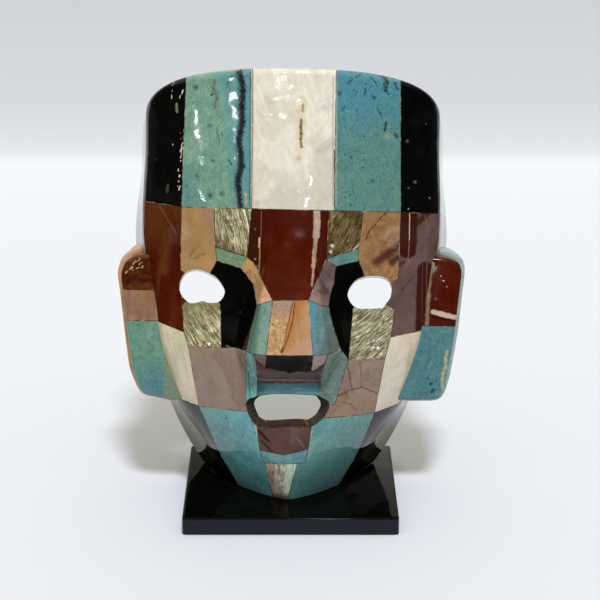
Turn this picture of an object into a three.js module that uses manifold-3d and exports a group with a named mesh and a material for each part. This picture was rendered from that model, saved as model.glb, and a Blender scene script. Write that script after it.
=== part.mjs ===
// Stone-mosaic mask, hollow behind, standing on a square black stone plinth.
// Millimetres, +Z up, +X to the viewer's right, the viewer at -Y.
// The origin is the centre of the plinth's underside.
import * as THREE from "three";
import { mergeVertices } from "three/addons/utils/BufferGeometryUtils.js";
import Module from "manifold-3d";

const wasm = await Module();
wasm.setup();

// Driving dimensions
const PLINTH_SIDE = 95;
const PLINTH_THICK = 8;
const PLINTH_CORNER = 1.6; // across the small flat at each upright corner
const PLINTH_TOP_EDGE = 0.8;
const PLINTH_FOOT_EDGE = 0.6;
const LEAN_BACK = THREE.MathUtils.degToRad(8);
const ROLL = THREE.MathUtils.degToRad(0.8); // a little to the viewer's right
const SEAT_X = -1.2; // where the middle of the rear rim stands on the plinth
const SEAT_Y = 24;
const JOINT = 0.3; // glue line between two stones, and under the mask
const FACE_WALL = 9; // thickness of the face, front to back
const SIDE_WALL = 8; // thickness of the sides and the crown
const REAR_COURSE = 27; // how deep the course of stones behind the front ones is
const SIDE_ROUND = 6; // rounding where the face turns into the sides
const CROWN_ROUND = 3.5; // rounding along the top
const ROUND_CHANGE = 4; // how late the crown's rounding grows to that of the sides

// The mask's own frame has x across, z up the face, and depth forward of the flat rear rim.
// Sections of the head, from below the seat to the crown: halfFront and corner say where the face turns
// into the side, front is the depth on the middle line, bow is how the face curves between the two,
// and halfRear is half the width at the rear rim.
const SECTIONS = [
  { z: -12, halfFront: 20, front: 46, corner: 25, bow: 1.5, halfRear: 31 },
  { z: -4, halfFront: 26, front: 50.5, corner: 27, bow: 1.5, halfRear: 36.8 },
  { z: 8, halfFront: 33.5, front: 55.5, corner: 26, bow: 1.8, halfRear: 45 },
  { z: 20, halfFront: 42.5, front: 57.5, corner: 25, bow: 2, halfRear: 51.5 },
  { z: 34, halfFront: 51.5, front: 57.5, corner: 26, bow: 2.2, halfRear: 57.5 },
  { z: 50, halfFront: 57, front: 57.5, corner: 28, bow: 2.2, halfRear: 63.5 },
  { z: 70, halfFront: 62, front: 58, corner: 30, bow: 2.2, halfRear: 68.5 },
  { z: 105, halfFront: 66, front: 59.5, corner: 31, bow: 2.2, halfRear: 71.5 },
  { z: 125, halfFront: 66, front: 60, corner: 32, bow: 2.2, halfRear: 70.8 },
  { z: 150, halfFront: 65, front: 59.5, corner: 32, bow: 2.2, halfRear: 68.7 },
  { z: 186, halfFront: 65, front: 56.5, corner: 32, bow: 2.2, halfRear: 68.7 },
];
const BELOW_SEAT = -30;

// The crown's outline is a squared arc, higher in front than at the rear rim
const FRONT_CROWN = { spring: 163, rise: 22.5, half: 65, square: 2.5 };
const REAR_CROWN = { spring: 148, rise: 20, half: 68.7, square: 4 };

// The nose is a flat-fronted wedge, cut off below by a slope that runs back to the lip
const NOSE = {
  rootZ: 118,
  tipZ: 62,
  rootDepth: 58.5,
  project: 14,
  swell: 1.25,
  underSlope: 1.25,
  aboveSlope: 0.3,
  flankSlope: 2.6,
  frontRound: 1.2,
  blend: 0.8,
  halfWidths: [[52, 16], [62, 17.5], [85.5, 13], [97, 11], [118, 8.5]],
};

// The hollows that the eyes lie in. Each pair says where a hollow begins and where it has its full depth:
// top and bottom are heights, inner and outer are distances from the middle line
const SOCKET = {
  deep: 4.5,
  top: [126, 100],
  bottom: [56, 80],
  inner: [6, 20],
  outer: [66, 50],
  bridgeShare: 0.25, // of the depth, left on the middle line
  shareBehind: 0.8, // of the depth, repeated on the inner face
};

// Soft swellings and one hollow, each with its middle and its reach across and up
const BESIDE_NOSE = { height: 1.5, x: 22, reachX: 14, z: 84, reachZ: 22 };
const CHEEKBONE = { height: 1.8, x: 36, reachX: 20, z: 60, reachZ: 20 };
const CHIN = { height: 1.5, x: 0, reachX: 22, z: 14, reachZ: 16 };
const UPPER_LIP = { deep: 1.6, side: [15, 12], bottom: [40, 44], top: [66, 60] };

// Openings: the eyes are drilled a little downwards, the mouth almost level
const EYE_LEFT = { x: -38.8, z: 87.9, halfWide: 9.9, halfHigh: 7.6, depth: 45 };
const EYE_RIGHT = { x: 35.1, z: 86.4, halfWide: 10, halfHigh: 7.6, depth: 47 };
const EYE_SIDES = 20;
const EYE_DROP = Math.tan(THREE.MathUtils.degToRad(14));
const MOUTH = [
  [-18.5, 38], [-14.6, 40.7], [-8, 41.7], [-1.8, 41.9], [6, 41.7], [13.6, 41.3], [17.6, 37.6],
  [14.6, 31.9], [9.8, 29.3], [4, 28.7], [-1.7, 28.5], [-9, 28.4], [-14.5, 28.7], [-17.2, 33.1],
];
const MOUTH_DEPTH = 56;
const MOUTH_DROP = Math.tan(THREE.MathUtils.degToRad(7));

// Corners where the seams of the mosaic meet, as [across, up]. The last letter says the side.
const SEAM = {
  // beyond the outline, so that the outline itself ends the stones
  skyFarL: [-80, 195],
  skyBlackL: [-46.5, 195],
  skyTealL: [-17.6, 195],
  skyWhiteR: [18.3, 195],
  skyBlueR: [46.4, 195],
  skyFarR: [80, 195],
  // the level seam between the forehead and the brow
  browFarL: [-80, 125.2],
  browBlackL: [-48.5, 123],
  browTanL: [-33.9, 123.5],
  browTealL: [-17.4, 124],
  browRedR: [16.2, 123.7],
  browWhiteR: [18.4, 123.7],
  browPearlR: [31.4, 123],
  browBlackR: [48, 122.1],
  browFarR: [80, 118.9],
  // lower ends of the brow stones, and the slips beside the nose root
  pearlOuterL: [-33.3, 106.5],
  pearlInnerL: [-19.4, 102.1],
  slipOuterL: [-32.6, 99.7],
  slipInnerL: [-21.8, 97],
  pearlInnerR: [15.5, 102],
  pearlOuterR: [29.6, 106.4],
  slipInnerR: [19.8, 98.5],
  slipOuterR: [29.9, 100.7],
  bridgeHighL: [-16.6, 100],
  bridgeMidL: [-12.5, 93],
  bridgeBackL: [-16.4, 90],
  bridgeBackR: [18.6, 90],
  // round the eyes
  eyeMiddleL: [-38.8, 87.9],
  eyeOuterL: [-49, 94.3],
  eyeLowOuterL: [-48, 78.6],
  eyeLowInnerL: [-31, 80.3],
  eyeMiddleR: [35.1, 86.4],
  eyeOuterR: [47.7, 91.8],
  eyeLowOuterR: [46.3, 77.8],
  eyeLowInnerR: [27.7, 79.2],
  // nose
  noseTopL: [-7.7, 84.8],
  noseTop: [1.2, 85],
  noseTopR: [7.7, 85.2],
  wingTopL: [-14.6, 82.6],
  wingTopR: [16.5, 81.6],
  wingMidR: [19.1, 72],
  wingLowL: [-19.1, 62.7],
  wingLowR: [21.9, 63],
  wingUnderL: [-16, 62.2],
  wingUnderR: [16.4, 62.3],
  tipL: [-10.3, 61.7],
  tip: [-3.8, 61.8],
  tipR: [10.1, 62],
  // under the nose, and the upper lip
  underOuterL: [-14.8, 59.4],
  underMidL: [-10.6, 54.8],
  under: [0, 52],
  underMidR: [9.6, 53.3],
  underOuterR: [15.1, 57.4],
  lipMidL: [-14, 46.7],
  lipMidR: [13.5, 47],
  lipLowL: [-14.3, 40.2],
  lipLowR: [13.5, 40.6],
  // cheeks
  cheekTopL: [-45.2, 61],
  cheekInnerL: [-30.2, 61.6],
  cheekOuterL: [-47.2, 66.6],
  cheekLowL: [-40.3, 33],
  cheekLowInnerL: [-18.9, 33.8],
  earTopL: [-62, 70.4],
  sideTopL: [-80, 74],
  jawTopL: [-53, 35.2],
  sideLowL: [-80, 43],
  cheekTopR: [42.3, 56.6],
  cheekInnerR: [25.9, 57.2],
  cheekOuterR: [44.7, 66],
  cheekLowR: [38.3, 31.2],
  cheekLowInnerR: [15.9, 31.4],
  earTopR: [63.6, 67.6],
  sideTopR: [80, 64.6],
  jawTopR: [55.2, 34.5],
  sideLowR: [80, 44],
  stripLowR: [20.3, 37.5],
  // mouth and chin; the two middles lie inside the mouth, where the opening ends the stones
  mouthMiddleL: [-8, 35],
  mouthMiddleR: [6, 35],
  mouthCornerL: [-19, 38],
  lipTopL: [-14.5, 30.4],
  lipTopR: [10.4, 30.4],
  lowerLipL: [-12.8, 16.5],
  lowerLip: [-2.4, 15.2],
  lowerLipR: [8.7, 17.7],
  slipLowL: [-11.4, 11.6],
  slipLowR: [7.4, 11.4],
  wedgeTopL: [-10.3, 10.6],
  wedgeTopR: [4, 11.2],
  wedgeLowL: [-6.8, -6],
  wedgeLowR: [0.2, -5],
  // the seams of the jaws run down to the seat and end below it
  jawHighL: [-35.4, 21.2],
  jawMidL: [-30, 8.3],
  jawLowL: [-22.6, -4],
  jawHighR: [34.8, 20.7],
  jawMidR: [30.2, 9.2],
  jawLowR: [23, -4],
  floorFarL: [-80, -30],
  floorJawL: [-10.5, -30],
  floorWedgeL: [-6.8, -30],
  floorWedgeR: [0.2, -30],
  floorJawR: [11, -30],
  floorFarR: [80, -30],
  // rear course
  rearEarFarL: [-80, 103],
  rearEarNearL: [-40.3, 103],
  rearBrowFarL: [-80, 124],
  rearBrowNearL: [-40.3, 124],
  rearEarFarR: [80, 103],
  rearEarNearR: [38.3, 103],
  rearBrowFarR: [80, 120],
  rearBrowNearR: [38.3, 120],
};

// Kinds of stone
const STONES = {
  black: { color: 0x0c0d0e, roughness: 0.12 },
  teal: { color: 0x5c9c90, roughness: 0.2 },
  blueTeal: { color: 0x4a8b98, roughness: 0.2 },
  white: { color: 0xd6cfc0, roughness: 0.2 },
  red: { color: 0x521f10, roughness: 0.15 },
  tan: { color: 0xac8a66, roughness: 0.2 },
  mauve: { color: 0x7c635b, roughness: 0.18 },
  pearl: { color: 0xa8a387, roughness: 0.22 },
  salmon: { color: 0xd2a17c, roughness: 0.25 },
};

// The stones of the face, each with its kind and the seam corners round it
const FRONT_STONES = [
  ["forehead_black_left", "black", "skyFarL skyBlackL browBlackL browFarL"],
  ["forehead_teal_left", "teal", "skyBlackL skyTealL browTealL browBlackL"],
  ["forehead_white", "white", "skyTealL skyWhiteR browWhiteR browTealL"],
  ["forehead_blue_right", "blueTeal", "skyWhiteR skyBlueR browBlackR browWhiteR"],
  ["forehead_black_right", "black", "skyBlueR skyFarR browFarR browBlackR"],
  [
    "temple_red_left",
    "red",
    "browFarL browBlackL eyeOuterL eyeMiddleL eyeLowOuterL cheekOuterL earTopL sideTopL",
  ],
  ["brow_tan_left", "tan", "browBlackL browTanL pearlOuterL slipOuterL eyeMiddleL eyeOuterL"],
  ["brow_pearl_left", "pearl", "browTanL browTealL pearlInnerL pearlOuterL"],
  [
    "brow_red_centre",
    "red",
    "browTealL browRedR pearlInnerR noseTopR noseTop noseTopL bridgeMidL bridgeHighL pearlInnerL",
  ],
  ["brow_pearl_right", "pearl", "browRedR browPearlR pearlOuterR pearlInnerR"],
  ["brow_tan_right", "tan", "browPearlR browBlackR eyeOuterR eyeMiddleR slipOuterR pearlOuterR"],
  [
    "temple_mauve_right",
    "mauve",
    "browBlackR browFarR sideTopR earTopR cheekOuterR eyeLowOuterR eyeMiddleR eyeOuterR",
  ],
  ["brow_slip_teal_left", "teal", "pearlOuterL pearlInnerL slipInnerL slipOuterL"],
  ["brow_slip_teal_right", "teal", "pearlInnerR pearlOuterR slipOuterR slipInnerR"],
  [
    "bridge_tan_left",
    "tan",
    "pearlInnerL bridgeHighL bridgeMidL noseTopL wingTopL bridgeBackL slipInnerL",
  ],
  ["bridge_mauve_right", "mauve", "pearlInnerR slipInnerR bridgeBackR wingTopR noseTopR"],
  [
    "eye_black_left",
    "black",
    "slipOuterL slipInnerL bridgeBackL wingTopL wingLowL cheekInnerL eyeLowInnerL eyeMiddleL",
  ],
  [
    "eye_black_right",
    "black",
    "slipOuterR eyeMiddleR eyeLowInnerR cheekInnerR wingLowR wingMidR wingTopR bridgeBackR slipInnerR",
  ],
  [
    "cheekbone_pearl_left",
    "pearl",
    "eyeMiddleL eyeLowInnerL cheekInnerL cheekTopL cheekOuterL eyeLowOuterL",
  ],
  [
    "cheekbone_pearl_right",
    "pearl",
    "eyeMiddleR eyeLowOuterR cheekOuterR cheekTopR cheekInnerR eyeLowInnerR",
  ],
  ["nose_wing_left", "teal", "wingTopL noseTopL tipL wingUnderL wingLowL"],
  ["nose_ridge_left", "tan", "noseTopL noseTop tip tipL"],
  ["nose_ridge_right", "tan", "noseTop noseTopR tipR tip"],
  ["nose_wing_right", "blueTeal", "noseTopR wingTopR wingMidR wingLowR wingUnderR tipR"],
  ["nose_under_left", "salmon", "tipL underMidL underOuterL wingUnderL"],
  ["nose_under_centre", "black", "tipL tip tipR underMidR under underMidL"],
  ["nose_under_right", "mauve", "tipR wingUnderR underOuterR underMidR"],
  ["upper_lip_mauve", "mauve", "underOuterL underMidL under underMidR underOuterR lipMidR lipMidL"],
  ["upper_lip_blue", "blueTeal", "lipMidL lipMidR lipLowR mouthMiddleR mouthMiddleL lipLowL"],
  [
    "mouth_strip_left",
    "teal",
    "wingLowL wingUnderL underOuterL lipMidL lipLowL mouthMiddleL mouthCornerL",
  ],
  [
    "mouth_strip_right",
    "teal",
    "wingUnderR wingLowR cheekInnerR stripLowR mouthMiddleR lipLowR lipMidR underOuterR",
  ],
  [
    "cheek_mauve_left",
    "mauve",
    "cheekTopL cheekInnerL wingLowL mouthCornerL mouthMiddleL cheekLowInnerL cheekLowL",
  ],
  [
    "cheek_mauve_right",
    "mauve",
    "cheekInnerR cheekTopR cheekLowR cheekLowInnerR mouthMiddleR stripLowR",
  ],
  [
    "cheek_white_left",
    "white",
    "sideTopL earTopL cheekOuterL cheekTopL cheekLowL jawTopL sideLowL",
  ],
  [
    "cheek_white_right",
    "white",
    "sideTopR sideLowR jawTopR cheekLowR cheekTopR cheekOuterR earTopR",
  ],
  ["lower_lip", "mauve", "lipTopL mouthMiddleL mouthMiddleR lipTopR lowerLipR lowerLip lowerLipL"],
  [
    "lip_slip_teal",
    "teal",
    "lowerLipL lowerLip lowerLipR slipLowR wedgeTopR wedgeTopL slipLowL",
  ],
  [
    "chin_wedge_pearl",
    "pearl",
    "wedgeTopL wedgeTopR wedgeLowR floorWedgeR floorWedgeL wedgeLowL",
  ],
];

// The lowest stones go from the face right back to the rear rim
const LOW_STONES = [
  [
    "chin_teal_left",
    "teal",
    "cheekLowL cheekLowInnerL mouthMiddleL lipTopL lowerLipL slipLowL wedgeTopL wedgeLowL"
      + " floorWedgeL floorJawL jawLowL jawMidL jawHighL",
  ],
  [
    "chin_teal_right",
    "teal",
    "cheekLowR jawHighR jawMidR jawLowR floorJawR floorWedgeR wedgeLowR wedgeTopR slipLowR"
      + " lowerLipR lipTopR mouthMiddleR cheekLowInnerR",
  ],
  [
    "jaw_black_left",
    "black",
    "cheekLowL jawHighL jawMidL jawLowL floorJawL floorFarL sideLowL jawTopL",
  ],
  [
    "jaw_black_right",
    "black",
    "cheekLowR jawTopR sideLowR floorFarR floorJawR jawLowR jawMidR jawHighR",
  ],
];

// The course behind the front stones, from the jaws round over the crown
const REAR_STONES = [
  ["rear_ear_left", "mauve", "rearEarFarL rearEarNearL cheekLowL jawTopL sideLowL"],
  ["rear_temple_left", "mauve", "rearBrowFarL rearBrowNearL rearEarNearL rearEarFarL"],
  ["rear_crown_left", "teal", "skyFarL skyTealL browTealL rearBrowNearL rearBrowFarL"],
  ["rear_crown_centre", "white", "skyTealL skyWhiteR browWhiteR browTealL"],
  ["rear_crown_right", "teal", "skyWhiteR skyFarR rearBrowFarR rearBrowNearR browWhiteR"],
  ["rear_temple_right", "mauve", "rearBrowFarR rearEarFarR rearEarNearR rearBrowNearR"],
  ["rear_ear_right", "mauve", "rearEarNearR rearEarFarR sideLowR jawTopR cheekLowR"],
];

// Ears: a front layer of slabs, cut across into stones, and one bigger slab behind it
const EAR_FRONT = 30.5;
const EAR_BETWEEN = 20;
const EAR_BACK = 8;
const EAR_REAR_PROUD = 2.2; // how far the slab behind stands out past the front ones
const EAR_TOP = 120; // above both ears
const EAR_OUTLINE_LEFT = [
  [-76.4, 90.5], [-74.6, 96.2], [-70.4, 99.2], [-65.3, 100.1], [-50, 100.1], [-40, 34.2],
  [-53.5, 33.8], [-60.1, 35.2], [-66.1, 36.2], [-69.7, 43.8], [-71.2, 49], [-73.3, 66], [-75.2, 82],
];
const EAR_OUTLINE_RIGHT = [
  [67.2, 100.5], [71.4, 99.9], [75.5, 98], [76.9, 94], [75.6, 81], [74.4, 67], [72.8, 55.3],
  [71, 44.9], [69.2, 38.4], [67.3, 35.4], [56.5, 35.2], [42, 35.2], [50, 100.5],
];
const EAR_SEAM_HIGH_LEFT = 83.9;
const EAR_SEAM_LOW_LEFT = 70;
const EAR_SEAM_RIGHT = 69.4;

// Depths and widths beyond every stone, for cutters
const BEFORE_FACE = 95;
const BEHIND_RIM = 2;
const BEYOND_SIDES = 90;
const CUTTER_SIZE = 400;

// Two points nearer than this are one corner; two edges that turn less than this are one line
const SAME_CORNER = 1e-5;
const STRAIGHT_ON = 0.05;

// One column of SECTIONS at a height, smoothly between the sections
function section(z, key) {
  const last = SECTIONS.length - 1;
  const height = THREE.MathUtils.clamp(z, SECTIONS[0].z, SECTIONS[last].z);
  let i = 0;
  while (i < last - 1 && SECTIONS[i + 1].z < height) {
    i += 1;
  }
  const slopeAt = (k) => {
    const below = SECTIONS[Math.max(k - 1, 0)];
    const above = SECTIONS[Math.min(k + 1, last)];
    return (above[key] - below[key]) / (above.z - below.z);
  };
  const step = SECTIONS[i + 1].z - SECTIONS[i].z;
  const t = (height - SECTIONS[i].z) / step;
  const rise = 3 * t ** 2 - 2 * t ** 3;
  const leave = (t ** 3 - 2 * t ** 2 + t) * slopeAt(i) * step;
  const arrive = (t ** 3 - t ** 2) * slopeAt(i + 1) * step;
  return (1 - rise) * SECTIONS[i][key] + rise * SECTIONS[i + 1][key] + leave + arrive;
}

// 0 at a and 1 at b, smooth between them; b may be below a
function ease(a, b, x) {
  const t = THREE.MathUtils.clamp((x - a) / (b - a), 0, 1);
  return t * t * (3 - 2 * t);
}

// A smooth hump of height 1 at its middle
function hump(middle, reach, x) {
  const t = Math.abs(x - middle) / reach;
  return t < 1 ? (1 - t * t) ** 2 : 0;
}

function mound(form, across, z) {
  return form.height * hump(form.x, form.reachX, across) * hump(form.z, form.reachZ, z);
}

function crownHeight(crown, x) {
  const t = Math.min(Math.abs(x) / crown.half, 1);
  return crown.spring + crown.rise * (1 - t ** crown.square) ** (1 / crown.square);
}

// The face without its features: a bowed sheet
function sheet(x, z) {
  const front = section(z, "front");
  const fall = front - section(z, "corner");
  return front - fall * (Math.abs(x) / section(z, "halfFront")) ** section(z, "bow");
}

// The hollows that the eyes lie in
function sockets(x, z) {
  const across = Math.abs(x);
  const height = ease(...SOCKET.top, z) * ease(...SOCKET.bottom, z);
  const width = ease(...SOCKET.inner, across) * ease(...SOCKET.outer, across);
  const share = SOCKET.bridgeShare + (1 - SOCKET.bridgeShare) * width;
  return SOCKET.deep * height * share + mound(BESIDE_NOSE, across, z);
}

// Cheekbones and chin stand out, the upper lip lies back
function swellings(x, z) {
  const across = Math.abs(x);
  const lipSides = UPPER_LIP.deep * ease(...UPPER_LIP.side, across);
  const lipHollow = lipSides * ease(...UPPER_LIP.bottom, z) * ease(...UPPER_LIP.top, z);
  return mound(CHEEKBONE, across, z) - lipHollow + mound(CHIN, across, z);
}

function noseHalfWidth(z) {
  const widths = NOSE.halfWidths;
  let i = 0;
  while (i < widths.length - 2 && widths[i + 1][0] < z) {
    i += 1;
  }
  const [lowZ, lowHalf] = widths[i];
  const [highZ, highHalf] = widths[i + 1];
  const t = THREE.MathUtils.clamp((z - lowZ) / (highZ - lowZ), 0, 1);
  return lowHalf + t * (highHalf - lowHalf);
}

function noseDepth(x, z) {
  const half = noseHalfWidth(z);
  const across = Math.abs(x);
  const rise = THREE.MathUtils.clamp((NOSE.rootZ - z) / (NOSE.rootZ - NOSE.tipZ), 0, 1);
  const ridge = NOSE.rootDepth + NOSE.project * rise ** NOSE.swell;
  const under = Math.max(NOSE.tipZ - z, 0) * NOSE.underSlope;
  const above = Math.max(z - NOSE.rootZ, 0) * NOSE.aboveSlope;
  const rounding = NOSE.frontRound * Math.min(across / half, 1) ** 2;
  const flank = Math.max(across - half, 0) * NOSE.flankSlope;
  return ridge - under - above - rounding - flank;
}

// The whole front surface, as a depth forward of the rear rim
function faceDepth(x, z) {
  const face = sheet(x, z) - sockets(x, z) + swellings(x, z);
  const nose = noseDepth(x, z);
  const t = THREE.MathUtils.clamp(0.5 + (0.5 * (nose - face)) / NOSE.blend, 0, 1);
  return face * (1 - t) + nose * t + NOSE.blend * t * (1 - t);
}

// Makes a closed geometry a solid that can be joined and cut
function solidOf(geometry) {
  const bare = geometry.clone();
  bare.deleteAttribute("normal");
  bare.deleteAttribute("uv");
  const merged = mergeVertices(bare, SAME_CORNER);
  const vertProperties = new Float32Array(merged.attributes.position.array);
  const triVerts = new Uint32Array(merged.index.array);
  return new wasm.Manifold(new wasm.Mesh({ numProp: 3, vertProperties, triVerts }));
}

function solidFrom(points, triangles) {
  const geometry = new THREE.BufferGeometry();
  geometry.setAttribute("position", new THREE.Float32BufferAttribute(points.flat(), 3));
  geometry.setIndex(triangles.flat());
  return solidOf(geometry);
}

// A solid in front of the rear rim, up to a surface given over a grid of [x, z]
function blockUnder(grid, depthAt) {
  const rows = grid.length;
  const columns = grid[0].length;
  const count = rows * columns;
  const front = grid.flat().map(([x, z]) => [x, -depthAt(x, z), z]);
  const back = grid.flat().map(([x, z]) => [x, BEHIND_RIM + 1, z]);
  const triangles = [];
  for (let r = 0; r < rows - 1; r += 1) {
    for (let c = 0; c < columns - 1; c += 1) {
      const low = r * columns + c;
      const high = low + columns;
      const onLeft = c < (columns - 1) / 2;
      const rising = [[low, low + 1, high + 1], [low, high + 1, high]];
      const falling = [[low, low + 1, high], [low + 1, high + 1, high]];
      for (const [i, j, k] of onLeft ? falling : rising) {
        triangles.push([i, j, k]);
        triangles.push([k + count, j + count, i + count]);
      }
    }
  }
  const range = (length) => [...Array(length).keys()];
  const rim = [
    ...range(columns - 1),
    ...range(rows - 1).map((r) => r * columns + columns - 1),
    ...range(columns - 1).map((c) => rows * columns - 1 - c),
    ...range(rows - 1).map((r) => (rows - 1 - r) * columns),
  ];
  rim.forEach((i, n) => {
    const j = rim[(n + 1) % rim.length];
    triangles.push([j, i, i + count]);
    triangles.push([j, i + count, j + count]);
  });
  return solidFrom([...front, ...back], triangles);
}

// A solid through rings of points, from the rear forwards, with flat ends
function loft(rings) {
  const n = rings[0].length;
  const points = rings.flat();
  const triangles = [];
  for (let r = 0; r < rings.length - 1; r += 1) {
    for (let i = 0; i < n; i += 1) {
      const j = (i + 1) % n;
      triangles.push([r * n + i, (r + 1) * n + i, (r + 1) * n + j]);
      triangles.push([r * n + i, (r + 1) * n + j, r * n + j]);
    }
  }
  const hubHeight = 90;
  const rear = points.push([0, rings[0][0][1], hubHeight]) - 1;
  const front = points.push([0, rings[rings.length - 1][0][1], hubHeight]) - 1;
  const lastRing = (rings.length - 1) * n;
  for (let i = 0; i < n; i += 1) {
    const j = (i + 1) % n;
    triangles.push([rear, i, j]);
    triangles.push([front, lastRing + j, lastRing + i]);
  }
  return solidFrom(points, triangles);
}

// Heights of the points up each side of the head, and the number of steps over the crown
const SIDE_HEIGHTS = [BELOW_SEAT, -12, -4, 8, 20, 34, 50, 70, 90, 105, 125, 145];
const SIDE_FIXED = 100; // above this the heights follow the crown
const CROWN_STEPS = 14;

// The outline in front or at the rear, moved outwards by grow: up the left, over, and down the right
function outline(crown, halfKey, grow) {
  const stretch = (crown.spring - SIDE_FIXED) / (FRONT_CROWN.spring - SIDE_FIXED);
  const right = SIDE_HEIGHTS.map((height) => {
    const z = Math.min(height, SIDE_FIXED) + Math.max(height - SIDE_FIXED, 0) * stretch;
    return [section(height, halfKey) + grow, z];
  });
  const over = [];
  for (let i = 0; i <= CROWN_STEPS; i += 1) {
    const angle = (Math.PI * i) / CROWN_STEPS;
    const across = -Math.sign(Math.cos(angle)) * Math.abs(Math.cos(angle)) ** (2 / crown.square);
    const up = Math.abs(Math.sin(angle)) ** (2 / crown.square);
    over.push([across * (crown.half + grow), crown.spring + up * (crown.rise + grow)]);
  }
  const left = right.map(([x, z]) => [-x, z]);
  return [...left, ...over, ...right.reverse()];
}

// The head without its face: the sides run from the rear outline to the front one, then straight on
function envelope(grow, depthAt) {
  const rear = outline(REAR_CROWN, "halfRear", grow);
  const front = outline(FRONT_CROWN, "halfFront", grow);
  const corner = front.map(([x, z]) => [x, -depthAt(x, z), z]);
  const ahead = front.map(([x, z]) => [x, -BEFORE_FACE, z]);
  const behind = rear.map(([x, z], i) => {
    const share = BEHIND_RIM / -corner[i][1];
    return [x + share * (x - front[i][0]), BEHIND_RIM, z + share * (z - front[i][1])];
  });
  return loft([behind, corner, ahead]);
}

const FRONT_OUTLINE = outline(FRONT_CROWN, "halfFront", 0);

// How far inside the front outline a point lies, and 0 outside it
function insideOutline(x, z) {
  const top = crownHeight(FRONT_CROWN, x);
  if (Math.abs(x) >= section(z, "halfFront") || z >= top) {
    return 0;
  }
  const spot = new THREE.Vector3(x, z, 0);
  const foot = new THREE.Vector3();
  const distances = FRONT_OUTLINE.slice(1).map((end, i) => {
    const start = FRONT_OUTLINE[i];
    const edge = new THREE.Line3(new THREE.Vector3(...start, 0), new THREE.Vector3(...end, 0));
    return edge.closestPointToPoint(spot, true, foot).distanceTo(spot);
  });
  return Math.min(...distances);
}

// The front surface with its edge rounded over
function roundedFace(x, z) {
  const sideways = Math.min(Math.abs(x) / FRONT_CROWN.half, 1) ** ROUND_CHANGE;
  const radius = CROWN_ROUND + (SIDE_ROUND - CROWN_ROUND) * sideways;
  const inside = Math.min(insideOutline(x, z), radius);
  return faceDepth(x, z) - radius + Math.sqrt(radius ** 2 - (radius - inside) ** 2);
}

function innerFace(x, z) {
  return sheet(x, z) - SOCKET.shareBehind * sockets(x, z) - FACE_WALL;
}

// Where the columns and rows of the face's grid lie
const NOSE_SHARES = [0.4, 0.8, 1]; // of the nose's half width
const NOSE_FLANKS = [1.8, 3.8, 6.3, 10]; // beyond it, in millimetres
const OUTER_SHARES = [0.52, 0.63, 0.73, 0.82, 0.9, 0.95, 0.985, 1, 1.2]; // of the head's half width
const NARROW_HEAD = 60; // below this half width the nose columns close up
const FACE_ROWS = [
  BELOW_SEAT, -12, -6, 1, 8, 15, 21, 28, 35, 41, 46.5, 52, 55, 58.5, 61.8, 62.2, 66, 71, 77, 83, 89,
  95, 101, 107, 113, 119, 126, 136, 150,
];
const CROWN_SHARES = [0.3, 0.6, 0.8, 0.9, 0.96, 0.985, 1]; // of the way up to the crown's outline
const ABOVE_CROWN = 9;
const INNER_COLUMNS = [0.18, 0.36, 0.52, 0.66, 0.78, 0.88, 1, 1.2];
const INNER_ROWS = [BELOW_SEAT, -8, 8, 20, 34, 50, 62, 74, 88, 102, 116, 130, 150];
const INNER_CROWN_SHARES = [0.5, 1];

// Rows of points across the head; above the last row they follow the crown
function headGrid(columnsAt, rows, crownShares) {
  const acrossAt = (z) => {
    const right = columnsAt(z, section(z, "halfFront"));
    return [...right.map((x) => -x).reverse(), 0, ...right];
  };
  const top = rows[rows.length - 1];
  const straight = rows.map((z) => acrossAt(z).map((x) => [x, z]));
  const curved = crownShares.map((share) => (
    acrossAt(top).map((x) => [x, top + share * (crownHeight(FRONT_CROWN, x) - top)])
  ));
  const beyond = acrossAt(top).map((x) => [x, crownHeight(FRONT_CROWN, x) + ABOVE_CROWN]);
  return [...straight, ...curved, beyond];
}

function faceColumns(z, half) {
  const nose = noseHalfWidth(z);
  const squeeze = Math.min(half / NARROW_HEAD, 1);
  const onNose = NOSE_SHARES.map((share) => share * nose * squeeze);
  const beside = NOSE_FLANKS.map((step) => (nose + step) * squeeze);
  return [...onNose, ...beside, ...OUTER_SHARES.map((share) => share * half)];
}

// A prism of an outline, between two depths
function prism(corners, fromDepth, toDepth) {
  const shape = new THREE.Shape(corners.map(([x, z]) => new THREE.Vector2(x, z)));
  const depth = toDepth - fromDepth;
  const geometry = new THREE.ExtrudeGeometry(shape, { depth, bevelEnabled: false });
  geometry.rotateX(Math.PI / 2);
  geometry.translate(0, -fromDepth, 0);
  return geometry;
}

// A hole of an outline, drilled so that it drops towards the rear and is in its place at one depth
function drilled(corners, placeDepth, drop) {
  const hole = prism(corners, 0, BEFORE_FACE);
  const slant = new THREE.Matrix4().set(
    1, 0, 0, 0,
    0, 1, 0, 0,
    0, -drop, 1, -drop * placeDepth,
    0, 0, 0, 1,
  );
  hole.applyMatrix4(slant);
  return solidOf(hole);
}

function eyeHole(eye) {
  const corners = [];
  for (let i = 0; i < EYE_SIDES; i += 1) {
    const angle = (2 * Math.PI * i) / EYE_SIDES;
    corners.push([eye.x + eye.halfWide * Math.cos(angle), eye.z + eye.halfHigh * Math.sin(angle)]);
  }
  return drilled(corners, eye.depth, EYE_DROP);
}

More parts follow.
